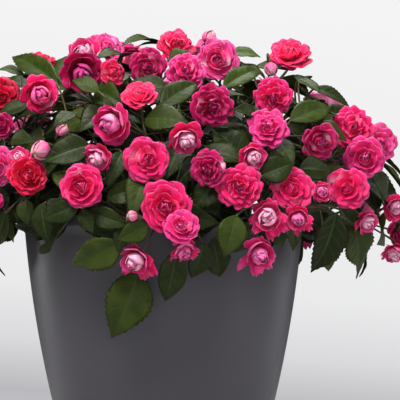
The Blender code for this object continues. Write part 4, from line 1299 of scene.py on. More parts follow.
PETAL_WHORLS = {
    "rose": (
        Whorl(5, ((0.05, -0.42), (0.36, -0.33), (0.70, -0.08), (1.03, 0.04)),
              0.68, 0.45, 0.08, 0.0, 9, 13, 0.0, 0.10),
        Whorl(5, ((0.05, -0.38), (0.34, -0.26), (0.64, 0.00), (0.86, 0.16)),
              0.60, 0.80, 0.08, 0.5, 8, 11, 0.1, 0.15),
        Whorl(4, ((0.04, -0.34), (0.30, -0.20), (0.48, 0.06), (0.56, 0.30)),
              0.46, 1.40, 0.06, 0.2, 7, 9, 0.3, 0.25),
        Whorl(3, ((0.03, -0.30), (0.22, -0.10), (0.32, 0.12), (0.30, 0.36)),
              0.34, 2.40, 0.04, 0.7, 7, 9, 0.5, 0.30),
        Whorl(3, ((0.02, -0.25), (0.08, 0.02), (0.15, 0.24), (0.07, 0.44)),
              0.22, 3.60, 0.00, 0.1, 6, 7, 0.6, 0.60),
        Whorl(3, ((0.01, -0.20), (0.03, 0.06), (0.05, 0.24), (0.01, 0.42)),
              0.15, 2.40, 0.00, 0.4, 5, 5, 0.6, 1.50),
    ),
    "flat": (
        Whorl(5, ((0.05, -0.40), (0.38, -0.28), (0.72, -0.06), (1.05, -0.02)),
              0.70, 0.25, 0.10, 0.0, 9, 13, 0.0, 0.10),
        Whorl(5, ((0.05, -0.36), (0.34, -0.22), (0.62, 0.00), (0.86, 0.07)),
              0.60, 0.40, 0.10, 0.5, 8, 11, 0.1, 0.18),
        Whorl(4, ((0.04, -0.32), (0.24, -0.16), (0.42, 0.04), (0.56, 0.20)),
              0.40, 0.80, 0.08, 0.2, 7, 9, 0.3, 0.50),
        Whorl(4, ((0.03, -0.28), (0.12, -0.08), (0.20, 0.10), (0.28, 0.28)),
              0.24, 1.60, 0.05, 0.7, 6, 7, 0.5, 1.00),
        Whorl(4, ((0.01, -0.22), (0.04, 0.00), (0.06, 0.16), (0.08, 0.34)),
              0.17, 2.00, 0.00, 0.4, 5, 5, 0.6, 1.50),
    ),
    "ruffled": (
        Whorl(6, ((0.05, -0.42), (0.34, -0.32), (0.68, -0.08), (1.02, 0.00)),
              0.56, 0.30, 0.14, 0.0, 9, 13, 0.0, 0.12),
        Whorl(6, ((0.05, -0.38), (0.30, -0.20), (0.58, 0.04), (0.82, 0.16)),
              0.46, 0.30, 0.16, 0.5, 8, 11, 0.1, 0.35),
        Whorl(6, ((0.04, -0.34), (0.20, -0.12), (0.38, 0.12), (0.56, 0.30)),
              0.34, 0.40, 0.16, 0.2, 7, 9, 0.3, 0.80),
        Whorl(5, ((0.03, -0.30), (0.12, -0.06), (0.20, 0.16), (0.30, 0.36)),
              0.25, 0.80, 0.14, 0.7, 6, 7, 0.5, 1.30),
        Whorl(4, ((0.01, -0.25), (0.03, 0.02), (0.05, 0.22), (0.08, 0.42)),
              0.18, 1.60, 0.00, 0.4, 5, 5, 0.6, 1.57),
    ),
    "cup": (
        Whorl(5, ((0.05, -0.42), (0.38, -0.40), (0.76, -0.16), (1.00, 0.06)),
              0.56, 0.40, 0.10, 0.0, 9, 11, 0.0, 0.15),
        Whorl(4, ((0.05, -0.40), (0.48, -0.28), (0.80, 0.10), (0.72, 0.46)),
              0.66, 1.20, 0.06, 0.5, 8, 11, 0.2, 0.20),
        Whorl(3, ((0.04, -0.36), (0.40, -0.16), (0.66, 0.26), (0.26, 0.68)),
              0.62, 1.80, 0.04, 0.2, 9, 10, 0.4, 0.15),
        Whorl(3, ((0.03, -0.30), (0.30, -0.02), (0.54, 0.42), (0.06, 0.76)),
              0.48, 2.20, 0.02, 0.7, 8, 9, 0.5, 0.15),
        Whorl(3, ((0.02, -0.25), (0.16, 0.10), (0.34, 0.52), (0.00, 0.82)),
              0.30, 2.60, 0.00, 0.1, 7, 7, 0.5, 0.40),
    ),
    "bud": (
        Whorl(3, ((0.15, 0.02), (0.86, 0.02), (1.30, 1.25), (0.10, 1.80)),
              0.92, 1.05, 0.00, 0.0, 11, 11, 0.0, 0.00),
        Whorl(2, ((0.15, 0.06), (0.70, 0.06), (1.02, 1.25), (0.05, 1.85)),
              0.80, 1.30, 0.00, 0.3, 9, 9, 0.6, 0.00),
    ),
}
OPEN_WHORLS = {"f": "flat", "r": "rose", "u": "ruffled"}
SHOW_OPENINGS = "fuf-fruf-ff-fuu-fufruf--f--frruuf-fr---fr-r----"  # of the listed blooms of the show side
RULE_OPENINGS = "frurfu"
CUP_TONES = {  # of a cup's outer petals, of those inside them, and of the rest
    "white": ("hot", "pale", "white"),
    "pale": ("hot", "pale", "white"),
    "blush": ("hot", "pale", "pale"),
}
# Listed blooms of the show side that open in another tone than their row's
SHOW_TONES = {
    1: "coral",
    3: "pale",
    4: "red",
    11: "hot",
    14: "hot",
    15: "rose",
    33: "blush",
    37: "blush",
    43: "blush",
}
# Radius and height of the closed core of a bloom's heart, in bloom radii
CUP_CORE = (0.30, 0.62)
OPEN_CORE = (0.30, 0.19)
CORE_FOOT = 0.3  # how far the core reaches down into the bloom, in bloom radii
# Outer petals that a spent cup has let go, and which of a whorl's petals they are, counted from
# the one that points straight down
HANGING_PETALS = (
    (
        Whorl(8, ((0.05, -0.42), (0.42, -0.42), (0.88, -0.22), (1.34, 0.06)),
              0.27, 0.50, 0.10, 0.0, 9, 7, 0.0, 0.20),
        (-1, 0, 1),
    ),
    (
        Whorl(8, ((0.05, -0.40), (0.40, -0.36), (0.76, -0.14), (1.12, 0.16)),
              0.32, 0.50, 0.12, 0.0, 9, 7, 0.1, 0.20),
        (-1.6, 0.4, 1.7),
    ),
    (
        Whorl(5, ((0.05, -0.42), (0.36, -0.42), (0.72, -0.22), (0.98, 0.00)),
              0.50, 0.40, 0.10, 0.0, 9, 9, 0.0, 0.20),
        (2.2, 3.0),
    ),
)
HANGING_UNDER = 262.0  # cups lower than this have let go of their outer petals
PETAL_WIDEST = 0.78  # where a petal is broadest, from its claw to its rim
CLAW_WIDTH = 0.16  # as a share of the petal's width, as is the notch's
NOTCH_WIDTH = 0.25
RIM_ROUNDING = 0.20  # how much shorter a petal is at its sides, as a share of its length
RIM_WAVE = 0.026
SEPALS = 3
SEPAL_GRID = 5  # rows, and columns, of a sepal's points
SEPAL_THICKNESS = 0.45
STALK_LEAST = 0.9  # radius


def grow_petal(skin, bloom, whorl, number, tone, thickness, draw, first=0.0):
    """One petal: a broad, wavy, cupped slab from its claw to its notched rim."""
    closed = bloom.form == "bud"
    size, depth, wrap = bloom.diameter / 2, whorl.depth, whorl.wrap
    loose = 0.0 if closed else 1.0 - 0.5 * depth  # how far chance may move this petal
    step = number + whorl.phase + draw.uniform(-0.12, 0.12) * loose
    turn = first + 2 * math.pi * step / whorl.count
    grow = 1 + draw.uniform(-0.12, 0.05) * loose
    half_width = whorl.half_width * (1 + draw.uniform(-0.10, 0.10) * loose)
    notch = whorl.notch * draw.uniform(0.3, 1.6)
    line = np.array(whorl.line) * grow
    line[3, 1] += draw.uniform(-0.11, 0.09) * loose
    line[2, 1] += draw.uniform(-0.05, 0.05) * loose
    # u runs across the petal from -1 to 1, v from its claw to its rim
    u = np.linspace(-1, 1, whorl.columns)[None, :]
    v = np.linspace(0, 1, whorl.rows)[:, None] ** 0.9
    length = 1 - RIM_ROUNDING * np.abs(u) ** 3 - notch * hump(u, NOTCH_WIDTH)
    length = length + RIM_WAVE * loose * np.sin(draw.uniform(4, 9) * u + draw.uniform(0, 6))
    s = v * length
    r = 1 - s
    weights = (r**3, 3 * s * r * r, 3 * s * s * r, s**3)
    middle = sum(w[..., None] * p for w, p in zip(weights, line))
    slopes = (3 * r * r, 6 * s * r, 3 * s * s)
    ahead = sum(w[..., None] * (b - a) for w, a, b in zip(slopes, line, line[1:]))
    ahead /= np.linalg.norm(ahead, axis=-1, keepdims=True)
    broad = CLAW_WIDTH + (1 - CLAW_WIDTH) * np.sin(math.pi / 2 * np.clip(v / PETAL_WIDEST, 0, 1))
    broad = broad * (1 - 0.12 * rising(v, PETAL_WIDEST, 1 - PETAL_WIDEST) ** 2)
    if closed:
        broad = np.sin(math.pi * (0.06 + 0.88 * v)) ** 0.7
    bend = wrap * u * half_width * broad * grow
    sideways = np.sin(bend) / wrap
    inward = (1 - np.cos(bend)) / wrap
    broad_waves = 0.050 * np.sin(3.2 * u + draw.uniform(0, 6))
    fine_waves = 0.020 * np.sin(7.5 * u + draw.uniform(0, 6))
    inward = inward + (broad_waves + fine_waves) * v**2.5 * loose
    furrow = 0.035 * hump(u, 0.16) * v * loose
    inward = inward + (0.085 - 0.04 * depth) * u * v - furrow
    inward = inward + draw.uniform(0.0, 0.5) * min(depth, 0.5) * np.abs(u) * v
    curl = draw.uniform(-0.07, 0.03) * loose
    inward = inward + curl * np.clip(v - 0.65, 0, 1) ** 2 * 9
    radial, aside = spokes(turn)
    axis = np.array([0.0, 0.0, 1.0])
    face = -ahead[..., 1:] * radial + ahead[..., :1] * axis
    spot = middle[..., :1] * radial + middle[..., 1:] * axis
    lean = whorl.twist * draw.uniform(-1, 1)
    level, upright = aside, face
    aside = level * math.cos(lean) + upright * math.sin(lean)
    face = upright * math.cos(lean) - level * math.sin(lean)
    spot = (spot + aside * sideways[..., None] + face * inward[..., None]) * size
    out = face * np.cos(bend)[..., None] - aside * np.sin(bend)[..., None]
    fade = np.clip(1.25 - v, 0.5, 1)[..., None]
    under = spot - out * thickness * fade
    matrix = bloom_matrix(bloom)
    turned, moved = np.array(matrix.to_3x3()).T, np.array(matrix.translation)
    place = np.stack(np.broadcast_arrays(u, v, np.array(draw.random())), axis=-1)
    tints = petal_tints(tone, u, v, depth, draw)
    skin.slab(spot @ turned + moved, under @ turned + moved, place, *tints)


def petal_tints(tone, u, v, depth, draw):
    """Colours of a petal's face and back, point by point: rim, face and heart run together; the
    darker heart is partly own colour, partly painted shade.
    """
    flash_at, flash_high = draw.uniform(-0.5, 0.5), draw.uniform(0.35, 0.75)
    flash = np.exp(-(((u - flash_at) / 0.42) ** 2) - ((v - flash_high) / 0.24) ** 2)[..., None]
    rim, face, heart, back = (np.array(c)[None, None, :] for c in tone)
    if tone is BUD_TONE:
        to_tip = rising(v, 0.66, 0.34)[..., None] ** 1.4 + 0 * face
        foot = np.clip(1.15 - v / (0.72 + 0.20 * np.sin(9 * u)), 0, 1)[..., None] ** 0.8
        front = mixed(mixed(back, heart, foot), rim, to_tip)
        return front, front
    # paler petals flash more often, and two in five of the flashes are faint
    flash = flash * (draw.random() < 0.12 + 0.9 * face[..., 1:2])
    flash = flash * (0.95 - 0.5 * (draw.random() < 0.4))
    shade = draw.uniform(0.86, 1.00)
    to_rim = rising(v, 0.70, 0.30)[..., None] ** 1.5
    to_rim = to_rim * (0.40 + 0.35 * np.abs(u)[..., None]) * (0.8 + 0.9 * depth)
    # darker towards the claw: partly the petal's own heart colour, partly painted shade
    heart_and_painted_shade = np.clip(1.1 - v * 1.7, 0, 1)[..., None] * (1 - 0.3 * depth)
    # inner petals take more of the heart colour: partly their own, partly painted shade deep in the
    # bloom
    blush = min(max(0.75 * depth + draw.uniform(-0.25, 0.25), 0), 0.9)
    front = mixed(mixed(mixed(face, heart, blush), heart, heart_and_painted_shade), rim, to_rim)
    behind = mixed(mixed(back, heart, 0.6 * heart_and_painted_shade), rim, 0.8 * to_rim)
    flashed = [mixed(c, np.array(FLASH), flash) for c in (front, behind)]
    return [np.minimum(c * shade, 0.98) for c in flashed]


def grow_whorls(skin, bloom, whorls, tones, thickness, draw):
    """All the petals of some whorls, each whorl in its own tone."""
    for whorl, tone in zip(whorls, tones):
        for number in range(whorl.count):
            grow_petal(skin, bloom, whorl, number, tone, thickness, draw)


def grow_core(skin, foot, top, radii, sides, tint):
    """A closed body of petals too tight to tell apart."""
    way = [foot.lerp(top, share) for share in np.linspace(0, 1, len(radii))]
    skin.tube(way, radii, sides, BACK, tint)


def grow_bloom(skin, bloom, tones, thickness, green):
    """A bloom or bud with its stalk, sepals and spur."""
    draw = random.Random(bloom.seed + "petals")
    path = rounded([*bloom.stalk, bloom.foot], 5)
    radii = np.interp(
        np.linspace(0, 1, len(path)),
        np.linspace(0, 1, len(bloom.stalk) + 1),
        [*bloom.stalk_radii, STALK_RADIUS],
    )
    skin.tube(path, [max(r, STALK_LEAST) for r in radii], 7, GREEN, green)
    if bloom.form == "bud":
        grow_bud(skin, bloom, thickness, draw)
    else:
        grow_open(skin, bloom, tones, thickness, green, draw)
    grow_sepals(skin, bloom, green, draw)


def grow_bud(skin, bloom, thickness, draw):
    """A pointed bud: a core with a few petals wrapped round it."""
    size = bloom.diameter / 2
    top = bloom.centre + bloom.facing * size * BUD_TIP * 0.94
    shares = np.linspace(0, 1, 9)
    radii = [size * 0.74 * math.sin(math.pi * x**0.72) ** 0.75 + 0.4 for x in shares]
    grow_core(skin, bloom.centre, top, radii, 12, BUD_TONE[1])
    grow_whorls(skin, bloom, PETAL_WHORLS["bud"], [BUD_TONE] * 2, thickness, draw)


def grow_open(skin, bloom, tones, thickness, green, draw):
    """An open or half open bloom: a closed core, whorls of petals round it, and its green neck."""
    size = bloom.diameter / 2
    is_cup = bloom.form == "cup"
    form = "cup" if is_cup else OPEN_WHORLS[opening(bloom, draw)]
    tone_name = SHOW_TONES.get(show_number(bloom), bloom.tone)
    names = CUP_TONES.get(tone_name, (tone_name,)) if is_cup else (tone_name,)
    whorls = PETAL_WHORLS[form]
    whorl_tones = [tones[names[min(k, len(names) - 1)]] for k in range(len(whorls))]
    core_radius, core_height = CUP_CORE if is_cup else OPEN_CORE
    foot = bloom.centre - bloom.facing * size * CORE_FOOT
    top = bloom.centre + bloom.facing * size * core_height
    shares = np.linspace(0, 1, 8)
    radii = [size * core_radius * math.sin(math.pi * x**0.8) ** 0.6 + 0.3 for x in shares]
    grow_core(skin, foot, top, radii, 11, whorl_tones[-1][1])
    if is_cup and bloom.centre.z < HANGING_UNDER:
        down = bloom_matrix(bloom).to_3x3().inverted() @ Vector((0, 0, -1))
        first = math.atan2(down.y, down.x)
        for whorl, numbers in HANGING_PETALS:
            for number in numbers:
                grow_petal(skin, bloom, whorl, number, whorl_tones[0], thickness, draw, first)
        whorls, whorl_tones = whorls[1:], whorl_tones[1:]
    grow_whorls(skin, bloom, whorls, whorl_tones, thickness, draw)
    crown = bloom.foot + bloom.facing * size * 0.16
    neck = [bloom.foot - bloom.facing * 0.8, bloom.foot, bloom.foot.lerp(crown, 0.5), crown]
    skin.tube(neck, [STALK_RADIUS, 0.09 * size + 0.6, 0.13 * size, 0.10 * size], 8, GREEN, green)


def show_number(bloom):
    """The row of a listed bloom of the show side, or None."""
    kind, _, number = bloom.seed.split()
    return int(number) if kind == "show" else None


def opening(bloom, draw):
    """The letter of an open bloom's whorls: listed on the show side, drawn elsewhere."""
    number = show_number(bloom)
    return draw.choice(RULE_OPENINGS) if number is None else SHOW_OPENINGS[number]


def grow_sepals(skin, bloom, green, draw):
    """Small pointed sepals round the foot of a bloom, and its thin bent spur."""
    size = bloom.diameter / 2
    share, lift = (0.8, 1.2) if bloom.form == "bud" else (0.42, 0.35)
    reach = share * size
    along = np.linspace(0, 1, SEPAL_GRID)[:, None]
    aside = np.linspace(-1, 1, SEPAL_GRID)[None, :]
    foot = np.array(bloom.foot)
    turned = np.array(bloom_matrix(bloom).to_3x3()).T
    for k in range(SEPALS):
        turn = 2 * math.pi * (k + draw.uniform(-0.1, 0.1)) / SEPALS
        radial, tangent = spokes(turn)
        half = 0.30 * reach * np.sin(math.pi * (0.12 + 0.86 * along)) ** 0.8
        out = 1.3 + reach * along / math.sqrt(1 + lift**2)
        height = reach * along * lift / math.sqrt(1 + lift**2) + 0.12 * half * aside**2
        spot = radial * out[..., None] + tangent * (half * aside)[..., None]
        spot = spot + np.array([0, 0, 1.0]) * (height + 0 * aside)[..., None]
        under = spot - np.array([0, 0, SEPAL_THICKNESS])
        place = np.zeros((SEPAL_GRID, SEPAL_GRID, 3))
        place[..., 0] = along
        skin.slab(spot @ turned + foot, under @ turned + foot, place, green, slots=(GREEN, GREEN))
    side = across(bloom.facing)[0]
    tail = bloom.foot - bloom.facing * 0.30 * size + side * 0.55 * size
    path = bezier(bloom.foot, bloom.foot + side * 0.3 * size, tail - side * 3.0, tail, 5)
    skin.tube(path, [1.0, 0.8, 0.65, 0.5, 0.42, 0.3], 5, GREEN, green)


# ---------- planter and compost in detail

PLANTER_SIDES = 144
SIDE_RINGS = 34
COMPOST_RINGS = 40
COMPOST_SIDES = 96
CRUMBS = 260
CRUMB_SIZES = (1.1, 3.2)
CRUMB_SIDES = 7
# A crumb's rings, as heights and radii
CRUMB_RINGS = ((-0.95, 0.35), (-0.6, 0.8), (0.0, 1.0), (0.6, 0.75), (0.95, 0.3))
PERLITE_EVERY = 7
PERLITE_TINT = (7.0, 7.2, 7.0)


def quarter(steps):
    """The angles of a rounded edge."""
    return [math.pi / 2 * k / steps for k in range(steps + 1)]


def planter_profile():
    """The planter from the middle of its underside, up its side, over its rim and inside."""
    edge, round_in, round_out = POT_EDGE, 3, 4
    ring_inner = POT_FOOT_RADIUS - edge - POT_FOOT_RING
    profile = [(POT_FOOT_PAD * 0.5, 0.0), (POT_FOOT_PAD - 0.8, 0.0), (POT_FOOT_PAD, 0.8)]
    profile += [(POT_FOOT_PAD, POT_FOOT_RECESS), (ring_inner, POT_FOOT_RECESS)]
    profile += [(ring_inner, 0.8), (ring_inner + 0.8, 0.0), (POT_FOOT_RADIUS - edge - 0.6, 0.0)]
    for angle in quarter(4):
        radius = pot_radius(edge) - edge * (1 - math.sin(angle))
        profile.append((radius, edge * (1 - math.cos(angle))))
    side_levels = np.linspace(8, POT_HEIGHT - POT_RIM_DEPTH, SIDE_RINGS)
    profile += [(pot_radius(level), level) for level in side_levels]
    rim, lip = POT_RIM_RADIUS + POT_RIM_PROUD, POT_RIM_RADIUS - POT_LIP
    profile += [(rim - 0.7, POT_HEIGHT - 11.5), (rim - 0.1, POT_HEIGHT - 10), (rim, POT_HEIGHT - 8)]
    for angle in quarter(5):
        radius = rim - round_out + round_out * math.cos(angle)
        profile.append((radius, POT_HEIGHT - round_out + round_out * math.sin(angle)))
    for angle in quarter(4):
        radius = lip + round_in - round_in * math.sin(angle)
        profile.append((radius, POT_HEIGHT - round_in + round_in * math.cos(angle)))
    under_rim = POT_HEIGHT - POT_RIM_DEPTH
    profile += [(lip + 0.5, POT_HEIGHT - 7), (pot_radius(under_rim) - POT_WALL, under_rim)]
    inner_levels = np.linspace(POT_HEIGHT - 30, POT_FLOOR_TOP + 3, 12)
    profile += [(pot_radius(level) - POT_WALL, level) for level in inner_levels]
    floor = pot_radius(POT_FLOOR_TOP) - POT_WALL
    profile += [(floor - 1, POT_FLOOR_TOP + 0.8), (floor - 4, POT_FLOOR_TOP)]
    return [*profile, (20.0, POT_FLOOR_TOP)]


def swept_round(profile, sides):
    """The grid of points of a profile of (radius, height) that turns about the Z axis."""
    angle = np.linspace(0, 2 * math.pi, sides, endpoint=False)
    radius, height = np.array(profile)[:, :, None].swapaxes(0, 1)
    return np.stack(np.broadcast_arrays(radius * np.cos(angle), radius * np.sin(angle), height), -1)


def grow_compost(skin):
    """The compost's body with its rough top, crumbs of bark and beads of perlite."""
    draw = random.Random("crumbs")
    fit = pot_radius(COMPOST_TOP) - POT_WALL - 2 * FIT_GAP
    angles = np.linspace(0, 2 * math.pi, COMPOST_SIDES, endpoint=False)
    floor = POT_FLOOR_TOP + FIT_GAP
    grid = []
    for share in np.linspace(0.02, 1, COMPOST_RINGS):
        radius = share * fit
        ring = []
        for turn in angles:
            x, y, _ = off_axis(turn, radius)
            lumps = roughness_at(x * 0.11, y * 0.11, 0.0) * 2.2
            rough = lumps + roughness_at(x * 0.45, y * 0.45, 5.0) * 1.3
            ring.append((x, y, COMPOST_TOP + (COMPOST_LUMP - 1 + rough) * (1 - share**8)))
        grid.append(ring)
    for level in (200.0, 120.0, 60.0, floor):
        radius = pot_radius(level) - POT_WALL - 2 * FIT_GAP
        grid.append([off_axis(turn, radius, level) for turn in angles])
    skin.turned(np.array(grid[::-1]), floor, COMPOST_TOP + COMPOST_LUMP)
    for k in range(CRUMBS):
        grow_crumb(skin, k, fit, draw)


def grow_crumb(skin, number, fit, draw):
    """A crumb of bark on the compost, or a bead of perlite."""
    reach = fit * 0.96 * math.sqrt(draw.random())
    turn = draw.uniform(0, 2 * math.pi)
    size = draw.uniform(*CRUMB_SIZES)
    bead = number % PERLITE_EVERY == 0
    stretch = (1.0, 1.0, 1.0) if bead else (draw.uniform(0.7, 1.6), 1.0, draw.uniform(0.5, 0.9))
    spin = Matrix.Rotation(draw.uniform(0, math.pi), 3, "Z")
    path = [Vector((0, 0, size * z)) for z, _ in CRUMB_RINGS]
    rings = sweep_rings(path, [size * radius for _, radius in CRUMB_RINGS], CRUMB_SIDES)
    height = COMPOST_TOP + COMPOST_LUMP + size * 0.3 - 1.0
    centre = Vector(off_axis(turn, reach, height))
    lump = []
    for _, point in itertools.chain(*rings):
        rough = 1 + 0.22 * roughness_at(point.x + number, point.y, point.z)
        lump.append(centre + spin @ Vector([point[a] * stretch[a] * rough for a in range(3)]))
    tint = PERLITE_TINT if bead else [draw.uniform(0.6, 1.7)] * 3
    numbers = skin.put(lump, (0, 0, float(bead)), tint).reshape(len(rings), CRUMB_SIDES)
    skin.close(grid_quads(numbers, around=True), FACE)
    skin.close(numbers[0][None, ::-1], FACE)
    skin.close(numbers[-1][None, :], FACE)


def roughness_at(x, y, z):
    return noise.noise(Vector((x, y, z)))


# ---------- materials


def maths(operation, swapped=False):
    def method(self, other):
        return self.surface.maths(operation, *((other, self) if swapped else (self, other)))

    return method


class Term:
    """A socket of a surface, so that its maths reads as an expression."""

    def __init__(self, surface, socket):
        self.surface, self.socket = surface, socket

    __add__ = __radd__ = maths("ADD")
    __sub__ = maths("SUBTRACT")
    __rsub__ = maths("SUBTRACT", swapped=True)
    __mul__ = __rmul__ = maths("MULTIPLY")
    __truediv__ = maths("DIVIDE")

    def __abs__(self):
        return self.surface.maths("ABSOLUTE", self)

    def between(self, low, high):
        """0 at low and under, 1 at high and over, smooth between; low may be above high."""
        values = {"Value": self, "From Min": low, "From Max": high}
        return self.surface.node("MapRange", {"interpolation_type": "SMOOTHSTEP"}, values)


class Nodes:
    """A node tree in the making."""

    def __init__(self, tree):
        self.tree = tree

    def node(self, kind, settings=None, values=None, out=0):
        """A new node with its settings and then its values or links; returns one output."""
        made = self.tree.nodes.new("ShaderNode" + kind)
        for key, value in (settings or {}).items():
            if key == "stops":
                ramp = made.color_ramp
                while len(ramp.elements) < len(value):
                    ramp.elements.new(0.5)
                for element, (position, colour) in zip(ramp.elements, value):
                    element.position = position
                    element.color = (*colour, 1.0)
            else:
                setattr(made, key, value)
        for key, value in (values or {}).items():
            if isinstance(value, Term):
                self.tree.links.new(value.socket, made.inputs[key])
            else:
                made.inputs[key].default_value = value
        return Term(self, made.outputs[out])

    def maths(self, operation, *values):
        return self.node("Math", {"operation": operation}, dict(enumerate(values)))

    def blend(self, share, one, other, way="MIX"):
        """Two colours mixed, or multiplied and so on by way."""
        values = {0: share, 6: one, 7: other}
        settings = {"data_type": "RGBA", "blend_type": way, "clamp_factor": True}
        return self.node("Mix", settings, values, 2)

    def times(self, tint, factors):
        """A colour multiplied by three factors."""
        return self.blend(1.0, tint, colour(factors), "MULTIPLY")

    def split(self, vector):
        """The three numbers of a vector."""
        outputs = self.node("SeparateXYZ", None, {0: vector}).socket.node.outputs
        return [Term(self, output) for output in outputs]


class Surface(Nodes):
    """A material in the making: a Principled shader, and the nodes that feed it."""

    def __init__(self, name, constants):
        self.material = bpy.data.materials.new(name)
        self.material.use_nodes = True
        super().__init__(self.material.node_tree)
        self.shader = self.tree.nodes["Principled BSDF"]
        for socket, value in constants.items():
            self.shader.inputs[socket].default_value = value

    def noise(self, vector, scale, detail=3.0, rough=0.5):
        values = {"Vector": vector, "Scale": scale, "Detail": detail, "Roughness": rough}
        return self.node("TexNoise", None, values)

    def stretched(self, vector, scale):
        """A vector with each of its numbers multiplied."""
        return self.node("VectorMath", {"operation": "MULTIPLY"}, {0: vector, 1: scale})

    def tint(self):
        """The colour that the mesh gives each point."""
        return self.node("Attribute", {"attribute_name": "tint"}, None, "Color")

    def place(self):
        """Where each point lies on its leaf, petal or stem; on stems, stalks and petioles the third
        number is painted shade instead.
        """
        return self.node("Attribute", {"attribute_name": "place"}, None, "Vector")

    def point(self):
        return self.node("TexCoord", None, None, "Object")

    def bumped(self, height, strength, distance):
        values = {"Height": height, "Strength": strength, "Distance": distance}
        self.feed("Normal", self.node("Bump", None, values))

    def feed(self, socket, value):
        self.tree.links.new(value.socket, self.shader.inputs[socket])


def colour(values):
    return (*values, 1.0)


def planter_surface(look):
    """Satin moulded plastic with a fine grain, a little rubbed all over and more at its foot."""
    made = Surface("planter_satin_plastic", {"Specular IOR Level": 0.5})
    point = made.point()
    height = made.split(point)[2]
    cloud = made.noise(point, 9.0, 4.0)
    grain = made.noise(point, 900.0, 2.0)
    rub = made.noise(made.stretched(point, (60.0, 60.0, 14.0)), 1.0, 6.0, 0.7).between(0.56, 0.70)
    low = height.between(0.020, 0.0)
    base = colour(look.colour)
    pale = colour([min(c * 1.6 + 0.02, 1) for c in look.colour])
    dull = colour([c * 0.82 for c in look.colour])
    shade = made.blend(cloud.between(0.3, 0.7) * 0.22, base, dull)
    shade = made.blend(rub * (low * 0.6 + 0.05), shade, pale)
    made.feed("Base Color", shade)
    rough = look.roughness + (cloud - 0.5) * 0.12 + (grain - 0.5) * 0.06 + rub * 0.08
    made.feed("Roughness", rough)
    made.bumped(grain + cloud * 0.5, 0.10, 0.0002)
    return made.material


def compost_surface(look):
    """Dark damp peat with fibres; crumbs and perlite carry their own tint."""
    made = Surface("compost_peat", {})
    bead = made.split(made.place())[2]
    point = made.point()
    coarse = made.noise(point, 160.0, 6.0, 0.7)
    fine = made.noise(point, 700.0, 4.0, 0.6)
    dark, light = colour(look.colour), colour([c * 2.4 for c in look.colour])
    shade = made.blend(coarse.between(0.35, 0.72), dark, light)
    shade = made.blend(1.0, shade, made.tint(), "MULTIPLY")
    shade = made.blend(bead * 0.8, shade, (0.62, 0.60, 0.55, 1))
    made.feed("Base Color", shade)
    made.feed("Roughness", 0.98 - coarse * 0.25)
    made.bumped(coarse + fine * 0.6, 0.8, 0.0012)
    return made.material


def leaf_surface(look, under):
    """A leaf's upper side, glossy with sunken pale veins, or its underside, duller and ribbed."""
    name = "leaf_underside" if under else "leaf_upper_side"
    made = Surface(name, {"Specular IOR Level": 0.16 if under else 0.22})
    tint, point = made.tint(), made.point()
    along, across_blade, _ = made.split(made.place())
    out = abs(across_blade)
    phase = (along - out * VEIN_SLANT) * LEAF_VEINS
    gap = abs(made.maths("FRACT", phase + 0.5) - 0.5)
    vein = gap.between(0.10, 0.015) * out.between(1.0, 0.55)
    rib = out.between(0.10, 0.03) * along.between(1.02, 0.7)
    fork = made.maths("FRACT", phase * 3.0 + out * 2.0 + 0.5) - 0.5
    twig = abs(fork).between(0.12, 0.03) * out.between(0.1, 0.3)
    settings = {"feature": "DISTANCE_TO_EDGE"}
    cells = made.node("TexVoronoi", settings, {"Vector": point, "Scale": 640.0}, "Distance")
    mottle = made.noise(point, 70.0, 4.0)
    fine = made.noise(point, 800.0, 3.0)
    lines = made.maths("MAXIMUM", vein * 0.8, rib)
    if under:
        base = made.times(tint, (1.35, 1.25, 1.6))
        base = made.blend(0.30, base, colour(look.underside))
        base = made.blend(lines * 0.55, base, colour((0.13, 0.14, 0.06)))
        relief = lines * 0.9 + twig * 0.25
    else:
        deep = made.times(tint, (0.62, 0.66, 0.62))
        base = made.blend(mottle.between(0.30, 0.70), deep, tint)
        base = made.blend(twig * 0.12 + vein * 0.28, base, colour(look.veins))
        base = made.blend(rib * 0.55, base, colour(look.veins))
        base = made.blend(out.between(0.90, 1.0) * 0.35, base, colour((0.050, 0.034, 0.010)))
        relief = 1.0 - lines * 0.8 - twig * 0.22
    base = made.blend(cells.between(0.12, 0.0) * 0.10, base, colour((0.02, 0.05, 0.01)))
    made.feed("Base Color", base)
    rough = 0.62 if under else look.roughness
    made.feed("Roughness", rough + (mottle - 0.5) * 0.16 + (fine - 0.5) * 0.08)
    made.bumped(relief + cells * 0.5 + fine * 0.12, 0.45, 0.0005)
    return made.material


def stem_surface(look):
    """Fleshy green stems, flushed red in patches, with paler streaks and painted shade deep in the
    mound.
    """
    made = Surface("stem_fleshy", {"Roughness": 0.4, "Subsurface Weight": 0.0})
    place = made.place()
    # painted shade, darker deep in the mound
    shade = made.split(place)[2]
    streak = made.noise(made.stretched(place, (5.0, 9.0, 1.0)), 1.5, 4.0)
    patch = made.noise(made.point(), 38.0, 3.0)
    base = made.blend(0.75, made.tint(), colour(look.stems))
    base = made.blend(patch.between(0.42, 0.68) * 0.75, base, colour((0.11, 0.032, 0.016)))
    base = made.blend(streak.between(0.5, 0.8) * 0.35, base, colour((0.10, 0.10, 0.04)))
    # the stem's colour times its painted shade
    made.feed("Base Color", made.blend(1.0, base, shade, "MULTIPLY"))
    made.bumped(streak + patch, 0.25, 0.0003)
    return made.material


